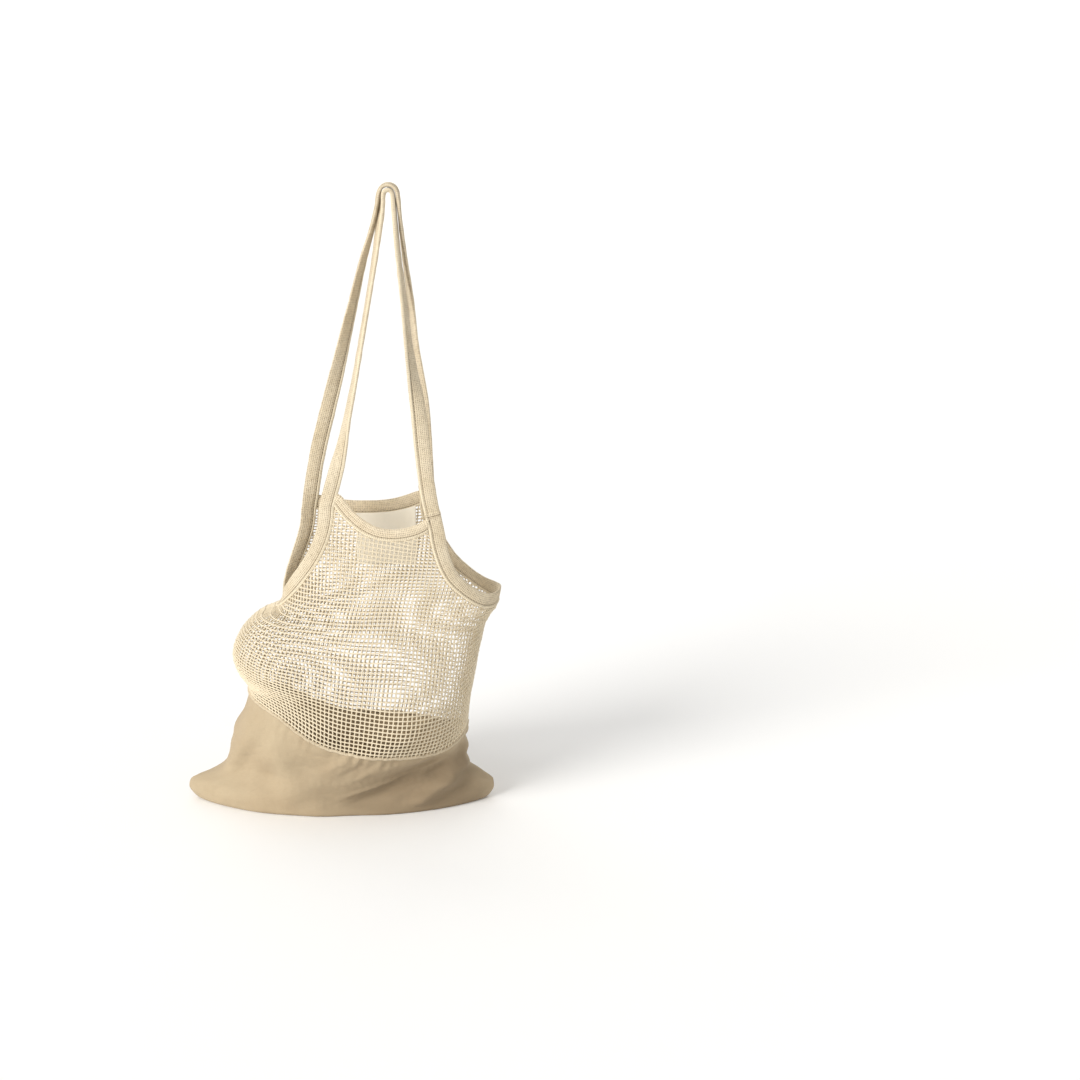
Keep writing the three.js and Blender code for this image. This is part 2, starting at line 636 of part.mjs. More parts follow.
function piece(name, geometry, material) {
  const mesh = new THREE.Mesh(geometry, material);
  mesh.name = name;
  return mesh;
}

const bag = new THREE.Group();
bag.add(
  piece("net_front", netPanel(FRONT), netCotton),
  piece("net_back", netPanel(BACK), netCotton),
  piece("rolled_seam", rolledSeam(), calico),
  piece("base_pouch", basePouch(), calico),
  piece("neck_tape_front", neckTape(FRONT), tapeCotton),
  piece("neck_tape_back", neckTape(BACK), tapeCotton),
  piece("armhole_tape_right", rightArmholeTape(), tapeCotton),
  piece("shoulder_strap", longStrap(), tapeCotton),
  piece("neck_label", neckLabel(), labelCotton),
);

export default bag;
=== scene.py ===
"""Looks of a string shopping bag: net panels, knitted tapes and loops, a calico base and a plain label.

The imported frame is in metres. The bag's own sizes and tables below are in millimetres and shares of
them, as the frame was made from, and each mesh is turned into metres when it is made.
"""
import math

import bpy
import numpy as np

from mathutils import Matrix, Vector


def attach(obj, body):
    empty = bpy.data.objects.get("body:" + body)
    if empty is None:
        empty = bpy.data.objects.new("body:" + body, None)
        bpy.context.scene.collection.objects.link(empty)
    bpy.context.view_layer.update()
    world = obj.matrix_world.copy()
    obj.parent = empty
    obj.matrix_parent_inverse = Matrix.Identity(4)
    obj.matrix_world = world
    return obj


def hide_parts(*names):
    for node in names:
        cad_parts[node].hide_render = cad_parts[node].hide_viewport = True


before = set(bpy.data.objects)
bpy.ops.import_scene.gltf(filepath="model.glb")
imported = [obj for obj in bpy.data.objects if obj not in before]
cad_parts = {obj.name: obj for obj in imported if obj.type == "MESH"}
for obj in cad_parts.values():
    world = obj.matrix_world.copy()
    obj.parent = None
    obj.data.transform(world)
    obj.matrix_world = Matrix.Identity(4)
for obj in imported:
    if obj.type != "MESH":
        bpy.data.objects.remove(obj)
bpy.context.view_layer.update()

FRONT, BACK, LEFT, RIGHT = -1, 1, -1, 1
MM = 0.001

# Sizes of the bag
MOUTH_HEIGHT = 298.0
HANDLE_DROP = 292.0
BAG_WIDTH = 256.0
BAG_DEPTH = 150.0
NECK_SCOOP = {FRONT: 20.5, BACK: 8.0}
NET_WALL = 1.5
CLOTH_WALL = 1.1
STRAP_WIDTH, STRAP_THICKNESS = 15.0, 3.2
NECK_WIDTH, NECK_THICKNESS = {FRONT: 12.0, BACK: 15.0}, 2.8
SEAM_ABOVE_NECK_TAPE = 4.0
CLEARANCE, TAPE_CLEARANCE = 0.3, 0.5
LABEL_WIDTH, LABEL_HEIGHT, LABEL_OFFSET, LABEL_TUCK = 58.0, 51.0, -9.0, 2.0
HOOK_RADIUS, ROLL_THICKER, ROLL_NARROWER = 2.2, 1.3, 0.8
HANG_HEIGHT = MOUTH_HEIGHT + HANDLE_DROP
ARMHOLE_START = 0.52

# Level sections: height, left, right, depth, taper
SECTIONS = np.array([
    [0.0, -0.77, 0.345, 0.77, 1.5],
    [0.04, -0.8, 0.37, 0.76, 1.6],
    [0.064, -0.793, 0.367, 0.755, 1.6],
    [0.091, -0.722, 0.328, 0.75, 1.3],
    [0.121, -0.664, 0.277, 0.75, 1.05],
    [0.161, -0.639, 0.27, 0.79, 0.85],
    [0.208, -0.629, 0.266, 0.87, 0.8],
    [0.255, -0.613, 0.271, 0.94, 0.8],
    [0.302, -0.586, 0.277, 0.98, 0.8],
    [0.349, -0.559, 0.283, 1.0, 0.8],
    [0.396, -0.555, 0.293, 1.0, 0.8],
    [0.45, -0.594, 0.305, 1.0, 0.8],
    [0.503, -0.611, 0.316, 0.985, 0.8],
    [0.557, -0.594, 0.33, 0.95, 0.82],
    [0.604, -0.555, 0.344, 0.9, 0.85],
    [0.638, -0.504, 0.367, 0.855, 0.87],
    [0.661, -0.438, 0.387, 0.82, 0.88],
    [0.685, -0.426, 0.391, 0.787, 0.9],
    [0.772, -0.414, 0.363, 0.667, 0.93],
    [0.879, -0.402, 0.34, 0.513, 0.97],
    [1.0, -0.391, 0.3125, 0.4, 1.0],
])

# Heights of the net's rows at five places across a panel: share, then left to right
ROW_PLACES = np.array([0.0, 0.25, 0.5, 0.75, 1.0])
NET_ROWS = {
    FRONT: np.array([
        [0.0, 0.396, 0.346, 0.231, 0.201, 0.262],
        [0.26, 0.526, 0.487, 0.433, 0.413, 0.466],
        [0.52, 0.654, 0.641, 0.638, 0.648, 0.671],
        [0.76, 0.826, 0.819, 0.795, 0.785, 0.799],
        [1.0, 1.014, 1.013, 0.962, 0.908, 0.905],
    ]),
    BACK: np.array([
        [0.0, 0.396, 0.32, 0.225, 0.215, 0.262],
        [0.26, 0.526, 0.48, 0.43, 0.42, 0.466],
        [0.52, 0.654, 0.641, 0.636, 0.648, 0.671],
        [0.76, 0.826, 0.819, 0.805, 0.815, 0.83],
        [1.0, 0.956, 0.955, 0.952, 0.98, 0.99],
    ]),
}
ARMHOLES = {
    (FRONT, LEFT): (0.341, 0.75), (FRONT, RIGHT): (0.345, 0.325),
    (BACK, LEFT): (0.243, 0.7), (BACK, RIGHT): (0.384, 0.36),
}

# Swellings and broad folds of each side: x, height, along, across, lean, push
SWELLINGS = {
    FRONT: [
        (-0.42, 0.5, 0.15, 0.14, 0, 0.07),
        (-0.03, 0.53, 0.15, 0.14, 0, 0.055),
        (0.06, 0.33, 0.15, 0.13, 0, 0.085),
        (-0.22, 0.36, 0.12, 0.13, 0, 0.03),
        (-0.2, 0.16, 0.34, 0.05, 28, 0.04),
        (0.05, 0.12, 0.24, 0.045, 32, -0.045),
        (-0.45, 0.2, 0.22, 0.05, -52, 0.035),
    ],
    BACK: [
        (-0.4, 0.48, 0.16, 0.14, 0, 0.065),
        (-0.06, 0.52, 0.15, 0.14, 0, 0.05),
        (0.04, 0.32, 0.16, 0.13, 0, 0.07),
        (-0.16, 0.15, 0.3, 0.05, 26, 0.035),
        (-0.42, 0.18, 0.24, 0.05, -48, 0.03),
    ],
}

# The loops' legs: lean where they meet the bend, then rise, out and turn from neck corner to hook
LEGS = {
    (FRONT, LEFT): (8, np.array([
        [0.0, 1.0, 0], [0.107, 0.845, 14], [0.18, 0.75, 40], [0.258, 0.664, 60], [0.338, 0.582, 67],
        [0.49, 0.433, 73], [0.645, 0.288, 74], [0.797, 0.156, 72], [0.87, 0.1, 68], [0.95, 0.03, 72],
        [1.0, 0.0, 90],
    ])),
    (FRONT, RIGHT): (4, np.array([
        [0.0, 1.0, 0], [0.099, 0.819, 2], [0.15, 0.756, 3], [0.238, 0.672, 6], [0.386, 0.55, 24],
        [0.456, 0.46, 48], [0.533, 0.375, 64], [0.678, 0.255, 75], [0.82, 0.125, 82],
        [0.915, 0.055, 86], [1.0, 0.0, 90],
    ])),
    (BACK, LEFT): (10, np.array([
        [0.0, 1.0, 0], [0.192, 0.853, 4], [0.349, 0.685, 12], [0.504, 0.518, 38], [0.657, 0.36, 58],
        [0.807, 0.2, 72], [0.907, 0.075, 82], [0.962, 0.024, 87], [1.0, 0.0, 90],
    ])),
    (BACK, RIGHT): (5, np.array([
        [0.0, 1.0, 0], [0.199, 0.93, 5], [0.354, 0.81, 16], [0.428, 0.7, 32], [0.507, 0.585, 48],
        [0.659, 0.46, 66], [0.81, 0.24, 76], [0.911, 0.1, 84], [1.0, 0.0, 90],
    ])),
}


# ---- Curves and surfaces ----

def smooth(xs, ys, x):
    """Values at x of a smooth curve through (xs, ys) that doesn't overshoot; ys may differ for each x."""
    ys = np.asarray(ys, float)
    ys = np.broadcast_to(ys[:, None] if ys.ndim == 1 else ys, (len(xs), np.size(x)))
    x = np.clip(np.ravel(x).astype(float), xs[0], xs[-1])
    steps = np.diff(xs)[:, None]
    grades = np.diff(ys, axis=0) / steps
    slopes = np.empty_like(ys)
    slopes[0], slopes[-1] = grades[0], grades[-1]
    before, after = grades[:-1], grades[1:]
    mean = (before * steps[1:] + after * steps[:-1]) / (steps[1:] + steps[:-1])
    limit = np.minimum(np.minimum(abs(before), abs(after)), abs(mean) / 2)
    slopes[1:-1] = (np.sign(before) + np.sign(after)) * limit
    i = np.clip(np.searchsorted(xs, x, side="right") - 1, 0, len(xs) - 2)
    pick = lambda table, index: np.take_along_axis(table, index[None], axis=0)[0]
    step = np.diff(xs)[i]
    t = (x - xs[i]) / step
    low, rise = pick(ys, i), pick(ys, i + 1) - pick(ys, i)
    a, b = pick(slopes, i) * step, pick(slopes, i + 1) * step
    return low + t * (a + t * (3 * rise - 2 * a - b + t * (a + b - 2 * rise)))


def row_height(side, place, share):
    """Height above the floor of the net's row at a share, at places from 0, left, to 1, right."""
    place, share = np.broadcast_arrays(np.asarray(place, float), np.asarray(share, float))
    table = NET_ROWS[side]
    across = [smooth(table[:, 0], table[:, 1 + i], share.ravel()) for i in range(len(ROW_PLACES))]
    return MOUTH_HEIGHT * smooth(ROW_PLACES, np.array(across), place.ravel())


def swelling(side, x, height):
    total = np.zeros(np.shape(x))
    for at_x, at_height, along, across, lean, push in SWELLINGS[side]:
        turn = math.radians(lean)
        dx, dh = x - at_x * BAG_WIDTH, height - at_height * MOUTH_HEIGHT
        lengthwise = (dx * math.cos(turn) + dh * math.sin(turn)) / (along * BAG_WIDTH)
        crosswise = (dh * math.cos(turn) - dx * math.sin(turn)) / (across * BAG_WIDTH)
        total += push * BAG_DEPTH * np.exp(-lengthwise**2 - crosswise**2)
    return total


def wall_point(side, place, height, inset=0.0, apart=0.0):
    """Points of the bag's wall, at an inset from its outer face."""
    level = height / MOUTH_HEIGHT
    left, right, depth, taper = (smooth(SECTIONS[:, 0], column, level) for column in SECTIONS[:, 1:].T)
    left, right, depth = left * BAG_WIDTH + inset, right * BAG_WIDTH - inset, depth * BAG_DEPTH / 2 - inset
    across = np.maximum(0.0, np.sin(math.pi * place))
    x = (left + right) / 2 - (right - left) / 2 * np.cos(math.pi * place)
    bulge = swelling(side, x, height) * np.sqrt(across)
    y = side * (apart + depth * across**taper + bulge)
    return np.stack([x, y, height - HANG_HEIGHT], axis=1)


def unit(vectors):
    return vectors / np.maximum(np.linalg.norm(vectors, axis=1, keepdims=True), 1e-12)


def outward(side, place, height):
    """The wall's outward direction at points of it."""
    step = 0.01
    inside = np.clip(place, 2 * step, 1 - 2 * step)
    across = wall_point(side, inside + step, height) - wall_point(side, inside - step, height)
    up = wall_point(side, inside, height + 1) - wall_point(side, inside, height - 1)
    direction = np.cross(across, up) * -side
    direction[(place < step) | (place > 1 - step), 1] = 0
    return unit(direction)


def net_point(side, place, height, depth):
    away = outward(side, place, height)
    return wall_point(side, place, height, 0, CLEARANCE / 2) - away * np.reshape(depth, (-1, 1))


def armhole_place(side, end, share):
    """Where a panel ends at a share of its rows: the side fold, or the armhole's edge above it."""
    inset, hollow = ARMHOLES[side, end]
    rise = np.clip((share - ARMHOLE_START) / (1 - ARMHOLE_START), 0, 1)
    inward = inset * (1 - (1 - rise) ** 2) ** hollow
    return inward if end == LEFT else 1 - inward


def neck_share(side, place):
    """The share of the rows at which the neck's edge cuts a panel."""
    left, right = ARMHOLES[side, LEFT][0], 1 - ARMHOLES[side, RIGHT][0]
    along = np.clip((place - left) / (right - left), 0, 1)
    length = row_height(side, place, 1.0) - row_height(side, place, 0.0)
    return 1 - NECK_SCOOP[side] / length * np.maximum(0, np.sin(math.pi * along)) ** 0.8


def gentle(seed, count, *coordinates, wavelengths=(8.0, 30.0)):
    """A smooth uneven value near -1 to 1 over one or two coordinates, the same in every run."""
    draw = np.random.default_rng(seed)
    total = np.zeros(np.shape(coordinates[0]))
    for _ in range(count):
        wave = math.exp(draw.uniform(math.log(wavelengths[0]), math.log(wavelengths[1])))
        turn, start = draw.uniform(0, 2 * math.pi, 2)
        along = coordinates[0]
        if len(coordinates) > 1:
            along = along * math.cos(turn) + coordinates[1] * math.sin(turn)
        total = total + np.sin(2 * math.pi * along / wave + start)
    return total / math.sqrt(count)


def lengths_along(points):
    """The distance along a line of points, at each of them."""
    return np.concatenate([[0], np.cumsum(np.linalg.norm(np.diff(points, axis=0), axis=1))])


def points_at(where, distance, points):
    """Points, or directions, at distances along a line."""
    return np.stack([np.interp(where, distance, points[:, i]) for i in range(3)], axis=1)


def softened(points, times):
    """Points drawn towards their neighbours; the ends keep their place."""
    for _ in range(times):
        points[1:-1] = (points[:-2] + 2 * points[1:-1] + points[2:]) / 4
    return points


def eased(t):
    """A share from 0 to 1 that starts and ends gently."""
    return t * t * (3 - 2 * t)


def circles(count, first, second):
    """At each point a ring of directions, in the plane of two directions."""
    angles = np.arange(count) * 2 * math.pi / count
    return np.cos(angles)[None, :, None] * first[:, None] + np.sin(angles)[None, :, None] * second[:, None]


# ---- Meshes ----

def ring_faces(index, closed=False):
    """Faces between each ring of point numbers and the next; closed joins the last ring to the first."""
    before, after = (index, np.roll(index, -1, axis=0)) if closed else (index[:-1], index[1:])
    return np.stack([before, np.roll(before, -1, 1), np.roll(after, -1, 1), after], axis=-1).reshape(-1, 4)


class Shapes:
    """Gathers points, faces and cloth coordinates of many small shapes into one mesh."""

    def __init__(self):
        self.points, self.faces, self.cloth, self.count = [], [], [], 0

    def add(self, points, faces, cloth):
        self.points.append(points)
        self.cloth.append(cloth)
        self.faces.extend(face + self.count for face in faces)
        self.count += len(points)
        return self

    def sweep(self, rings, along=0, across=0, closed=False, caps=True):
        """A skin over rings of points, with the lengths along and across its cloth at each point."""
        index = np.arange(rings.shape[0] * rings.shape[1]).reshape(rings.shape[:2])
        faces = [ring_faces(index, closed)]
        if caps and not closed:
            faces += [index[0][::-1][None], index[-1][None]]
        cloth = np.zeros(rings.shape)
        cloth[..., 0], cloth[..., 1] = along, across
        return self.add(rings.reshape(-1, 3), faces, cloth.reshape(-1, 3))


def add_object(name, data):
    made = bpy.data.objects.new(name, data)
    bpy.context.scene.collection.objects.link(made)
    return made


def make_object(name, shapes, finish):
    """A smooth mesh of the gathered shapes, with the cloth coordinates at its points."""
    mesh = bpy.data.meshes.new(name)
    faces = [face for block in shapes.faces for face in block.tolist()]
    mesh.from_pydata((np.concatenate(shapes.points) * MM).tolist(), [], faces)
    mesh.shade_smooth()
    coordinates = mesh.attributes.new("cloth", "FLOAT_VECTOR", "POINT")
    coordinates.data.foreach_set("vector", np.concatenate(shapes.cloth).ravel())
    mesh.materials.append(finish)
    return add_object(name, mesh)


def make_piece(name, shapes, finish, replaced=()):
    made = make_object(name, shapes, finish)
    if replaced:
        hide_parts(*replaced)
    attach(made, "root")
    return made


# ---- Finishes ----

def summing(operation, swapped=False):
    """A method of Value that adds a Math node for two terms."""
    def method(self, other):
        return self.math_node(operation, *((other, self) if swapped else (self, other)))
    return method


class Value:
    """A socket in a finish. Sums on it add Math nodes."""

    def __init__(self, finish, socket):
        self.finish, self.socket = finish, socket

    def math_node(self, operation, *terms):
        return self.finish.node("ShaderNodeMath", {"operation": operation}, dict(enumerate(terms)))

    __add__ = __radd__ = summing("ADD")
    __mul__ = __rmul__ = summing("MULTIPLY")
    __sub__, __rsub__ = summing("SUBTRACT"), summing("SUBTRACT", swapped=True)
    __truediv__, __rtruediv__ = summing("DIVIDE"), summing("DIVIDE", swapped=True)

    def __abs__(self):
        return self.math_node("ABSOLUTE", self)

    def sine(self):
        return self.math_node("SINE", self)

    def above(self, limit):
        return self.math_node("GREATER_THAN", self, limit)

    def clamped(self):
        return self.finish.node("ShaderNodeClamp", {}, {"Value": self})

    def ramp(self, start, gain):
        """0 up to start, then rising to 1."""
        return ((self - start) * gain).clamped()

    def ridges(self, pitch):
        """Round ridges from 0 to 1, one to each pitch."""
        return abs((self * (math.pi / pitch)).sine())

    def out(self, name):
        """Another output of the node that this value comes from."""
        return Value(self.finish, self.socket.node.outputs[name])


class Finish:
    """A material made from one Principled surface and expressions on Value sockets."""

    def __init__(self, name):
        self.material = bpy.data.materials.new(name)
        self.material.use_nodes = True
        self.tree = self.material.node_tree
        self.tree.nodes.clear()

    def node(self, kind, settings, values, output=0):
        """Adds a node: its settings first, then the values or links of its sockets."""
        made = self.tree.nodes.new(kind)
        for name, setting in settings.items():
            setattr(made, name, setting)
        for key, value in values.items():
            socket = made.inputs[key]
            if isinstance(value, Value):
                self.tree.links.new(value.socket, socket)
            else:
                socket.default_value = value
        return Value(self, made.outputs[output]) if len(made.outputs) else None

    def mix(self, factor, first, second):
        """Two colours mixed. A colour is three numbers or a Value."""
        full = [c if isinstance(c, Value) else (*c, 1.0) for c in (first, second)]
        return self.node("ShaderNodeMix", {"data_type": "RGBA"}, {0: factor, 6: full[0], 7: full[1]}, 2)

    def cloth(self):
        """Along and across the cloth, in millimetres, as two values, and the vector itself."""
        vector = self.node("ShaderNodeAttribute", {"attribute_name": "cloth"}, {}, "Vector")
        parts = self.node("ShaderNodeSeparateXYZ", {}, {0: vector})
        return parts, parts.out("Y"), vector

    def twist(self, turn):
        """Slanted ridges round a cord or thread, from 0 to 1."""
        along, around, _ = self.cloth()
        return (along * turn + around).sine() * 0.5 + 0.5

    def place(self, scale=1 / MM):
        """The point in the object's own frame, in millimetres unless another scale is given."""
        vector = self.node("ShaderNodeTexCoord", {}, {}, "Object")
        return self.node("ShaderNodeVectorMath", {"operation": "SCALE"}, {0: vector, "Scale": scale})

    def noise(self, vector, scale, detail=2.0, rough=0.5):
        values = {"Vector": vector, "Scale": scale, "Detail": detail, "Roughness": rough}
        return self.node("ShaderNodeTexNoise", {}, values)

    def bump(self, height, strength, distance, under=None):
        values = {"Height": height, "Strength": strength, "Distance": distance * MM}
        if under is not None:
            values["Normal"] = under
        return self.node("ShaderNodeBump", {}, values)

    def surface(self, color, roughness, normal=None, sheen=0.0, thin=0.0, glow=(0.6, 0.5, 0.34)):
        """The cloth's surface. thin is the share of light that comes through it, in the colour glow."""
        values = {"Base Color": color, "Roughness": roughness, "Sheen Weight": sheen,
                  "Sheen Roughness": 0.5, "Specular IOR Level": 0.25}
        if normal is not None:
            values["Normal"] = normal
        made = self.node("ShaderNodeBsdfPrincipled", {}, values)
        if thin:
            through = self.node("ShaderNodeBsdfTranslucent", {}, {"Color": (*glow, 1.0)})
            made = self.node("ShaderNodeMixShader", {}, {0: thin, 1: made, 2: through})
        self.node("ShaderNodeOutputMaterial", {}, {"Surface": made})
        return self.material


ECRU_DEEP = (0.23, 0.16, 0.09)


def net_finish():
    """Soft cotton cord: pale, a little uneven, with a fine twist."""
    f = Finish("net_cotton")
    spot = f.place()
    patch = f.noise(spot, 0.05)
    fine = f.noise(spot, 1.6, 3.0, 0.6)
    twist = f.twist(5.2)
    color = f.mix(patch.ramp(0.3, 1.8) * 0.7, (0.84, 0.74, 0.56), (0.72, 0.62, 0.44))
    color = f.mix((twist * 0.18 + fine * 0.28 - 0.1).clamped(), color, ECRU_DEEP)
    bump = f.bump(twist * 0.6 + fine * 0.7, 0.6, 0.25)
    return f.surface(color, 0.88, bump, sheen=0.1)


def tape_finish(name, pale, middle):
    """Knitted cotton tape: rows of small stitches across it, a painted highlight on its piping and painted
    shade in the groove beside it.

    The second cloth coordinate is the distance from the piping's outer edge.
    """
    f = Finish(name)
    along, across, _ = f.cloth()
    spot = f.place()
    patch = f.noise(spot, 0.045)
    fine = f.noise(spot, 2.2, 3.0, 0.65)
    mottle = f.noise(spot, 0.33, 3.0, 0.6)
    column = across.ridges(1.8)
    stitch = (along / 1.7 + column * 0.4).ridges(1)
    height = stitch * 0.55 + column * 0.45
    groove = (1 - abs(across - 3.3) / 0.7).clamped()
    piping = ((2.7 - across) * 2).clamped()
    sewn = (1 - abs(across - 5.2) / 0.5).clamped() * (along * (math.pi / 1.45)).sine().above(-0.2)
    # painted shade in the hollows between the stitches, with uneven tone of the yarn
    shade = (0.62 - height) * 1.5 + (mottle - 0.5) * 1.5 + (fine - 0.5) * 0.6
    color = f.mix(patch.ramp(0.3, 1.8) * 0.9, pale, middle)
    color = f.mix((shade * 1.2 + 0.02).clamped() * 0.85, color, ECRU_DEEP)
    # a painted highlight on the round piping, then painted shade in the groove beside it, with the sewn row's
    # dark marks
    color = f.mix(piping * 0.45, color, (0.84, 0.74, 0.55))
    color = f.mix((groove * 0.85 + sewn * 0.35).clamped(), color, ECRU_DEEP)
    bump = f.bump(height + fine * 0.5 + mottle * 0.8 - groove, 1.0, 0.55)
    return f.surface(color, 0.92, bump, sheen=0.1)


def calico_finish(name, pale, deep, painted_shade=0.0, hem=0.0):
    """Plain woven cotton: fine threads both ways, thicker ones here and there, soft creases.

    The argument after deep sets how much painted shade deepens the colour low on the front's right, most of
    all below its long fold.
    hem is how much painted shadow darkens the lower edge, where a rolled seam meets the cloth below it.
    """
    f = Finish(name)
    along, up, vector = f.cloth()
    stretched = lambda scale, turn=0.0: f.node(
        "ShaderNodeMapping", {}, {"Vector": vector, "Rotation": (0, 0, turn), "Scale": scale})
    upright, level = (f.noise(stretched(scale), 1.0) for scale in ((2.4, 0.16, 1), (0.16, 2.4, 1)))
    threads = upright * 0.5 + level * 0.5
    grid = along.ridges(0.6) * up.ridges(0.6)
    patch = f.noise(vector, 0.016, 3.0)
    cloud = f.noise(vector, 0.09, 4.0, 0.6)
    fleck = f.noise(vector, 0.9, 4.0, 0.7).ramp(0.66, 12)
    crease = f.noise(stretched((0.035, 0.075, 1), 0.55), 1.0, 4.0, 0.55)
    color = f.mix(patch.ramp(0.3, 2.2), pale, deep)
    color = f.mix(cloud.ramp(0.42, 2.4) * 0.14, color, (0.33, 0.24, 0.145))
    if painted_shade:
        # painted shade: the colour made deeper low on the front's middle and right, and deeper still below
        # its long fold
        x = f.node("ShaderNodeSeparateXYZ", {}, {0: f.place()})
        below_fold = ((x * 0.29 + 46 - up) / 16).clamped()
        on_front = (x.out("Y") / -15).clamped()
        low = ((x + 110) / 40).clamped() * ((75 - up) / 30).clamped()
        color = f.mix(low * on_front * painted_shade * 0.45, color, (0.28, 0.205, 0.13))
        shade_below_fold = below_fold * on_front * ((x + 75) / 70).clamped() * ((110 - x) / 45).clamped()
        color = f.mix(shade_below_fold * painted_shade, color, (0.25, 0.185, 0.115))
    if hem:
        # painted shadow along the bead's lower side, where it meets the cloth below
        color = f.mix(((-0.45 - up) * 1.3).clamped() * hem, color, ECRU_DEEP)
    color = f.mix(threads.ramp(0.36, 2.2) * 0.3, color, (0.31, 0.23, 0.14))
    color = f.mix(fleck * 0.4, color, (0.20, 0.13, 0.07))
    bump = f.bump(crease, 0.5, 2.4)
    bump = f.bump(grid * 0.4 + threads, 0.6, 0.2, bump)
    return f.surface(color, 0.9, bump, sheen=0.08, thin=0.1)


def thread_finish():
    f = Finish("sewing_thread")
    twist = f.twist(9)
    color = f.mix(twist * 0.5, (0.66, 0.56, 0.40), (0.40, 0.30, 0.19))
    return f.surface(color, 0.7, f.bump(twist, 0.5, 0.1), sheen=0.1)


def label_finish():
    f = Finish("label_cloth")
    along, up, vector = f.cloth()
    grid = along.ridges(0.4) * up.ridges(0.4)
    patch = f.noise(vector, 0.06)
    color = f.mix(patch * 0.7, (0.95, 0.9, 0.79), (0.9, 0.84, 0.71))
    bump = f.bump(grid + patch * 2, 0.4, 0.12)
    return f.surface(color, 0.78, bump, sheen=0.05, thin=0.2, glow=(0.9, 0.84, 0.7))


def floor_finish():
    f = Finish("studio_floor")
    cloud = f.noise(f.place(1.0), 3.0)
    return f.surface(f.mix(cloud * 0.3, (0.985, 0.985, 0.98), (0.965, 0.965, 0.96)), 0.9)


NET = net_finish()
TAPE = tape_finish("tape_cotton", (0.76, 0.66, 0.49), (0.66, 0.55, 0.375))
# The neck tapes' finish is a paler copy of the tape's colours: painted light, above all on the back neck
# tape, which the key light only grazes.
NECK_TAPE_PAINTED_LIGHT = tape_finish("neck_tape_painted_light", (0.82, 0.71, 0.53), (0.73, 0.61, 0.42))
# the base's calico, with painted shade low on its front's right
CALICO = calico_finish("calico", (0.54, 0.44, 0.295), (0.455, 0.35, 0.225), painted_shade=0.7)
# the rolled seam's calico, with painted shadow along the bead's lower side
ROLLED = calico_finish("rolled_calico", (0.72, 0.62, 0.455), (0.62, 0.515, 0.36), hem=0.85)
THREAD, LABEL, FLOOR = thread_finish(), label_finish(), floor_finish()


# ---- Net panels ----

ROWS = 56
PITCH = 4.05
CELLS_ACROSS_HALF = 37
CORD_MID, CORD_KNOT = 0.58, 0.82
CORD_APART = 0.16  # rows lie this much outside the middle of the net, columns this much inside it
TUCK = 1.3  # how far a cord runs in under the tape
PANEL_WIDE, PANEL_TALL, PANEL_ARC = 230.0, 225.0, 240.0  # a panel's rough size and length round
FAR_INSIDE = 50.0
EASE_TO_PITCH = 0.36  # share of the rows over which the columns take their own pitch above the armholes
# Where the middle column of the net runs: share of the rows, share of the bag's width
MIDDLE_COLUMN = np.array([[0.0, -0.176], [0.26, -0.15], [0.52, -0.102], [0.76, -0.062], [1.0, -0.037]])


def inside_net(side, place, share):
    """Roughly how far inside the panel's edges a point is, in millimetres."""
    left, right = armhole_place(side, LEFT, share), armhole_place(side, RIGHT, share)
    across = np.minimum(place - left, right - place) * PANEL_WIDE
    across = np.where(share <= ARMHOLE_START, FAR_INSIDE, across)
    return np.minimum(across, (neck_share(side, place) - share) * PANEL_TALL)


def trimmed(values, inside):
    """Runs of samples that are inside, each with its ends moved to just past the edge."""
    def past_edge(last_in, first_out):
        t = (inside[last_in] + TUCK) / (inside[last_in] - inside[first_out])
        return (values[last_in] + (values[first_out] - values[last_in]) * min(t, 1))[None]

    kept = np.concatenate([[False], inside > 0, [False]])
    starts, stops = np.flatnonzero(kept[1:] & ~kept[:-1]), np.flatnonzero(kept[:-1] & ~kept[1:])
    for start, stop in zip(starts, stops):
        if stop - start >= 2:
            before = [past_edge(start, start - 1)] if start > 0 else []
            after = [past_edge(stop - 1, stop)] if stop < len(values) else []
            yield np.concatenate([*before, values[start:stop], *after])


def cord_places(side):
    """Places of the net's half columns in each of its half rows, with the rows' shares and the columns."""
    fine = np.linspace(0, 1, 601)
    shares = np.linspace(0, 1, 2 * ROWS + 1)
    halves = np.arange(-2 * CELLS_ACROSS_HALF, 2 * CELLS_ACROSS_HALF + 1) / 2
    table = np.empty((len(shares), len(halves)))
    for i, share in enumerate(shares):
        row = net_point(side, fine, row_height(side, fine, share), NET_WALL / 2)
        arc = lengths_along(row)
        middle_x = smooth(MIDDLE_COLUMN[:, 0], MIDDLE_COLUMN[:, 1], share)[0] * BAG_WIDTH
        middle = np.interp(middle_x, row[:, 0], arc)
        if share <= ARMHOLE_START:
            pitches = at_start = np.array([middle, arc[-1] - middle]) / CELLS_ACROSS_HALF
        else:
            pitches = at_start + (PITCH - at_start) * eased(min(1, (share - ARMHOLE_START) / EASE_TO_PITCH))
        arcs = middle + np.where(halves < 0, pitches[0], pitches[1]) * halves
        table[i] = np.interp(arcs, arc, fine, left=-0.02, right=1.02)
    return shares, halves, table


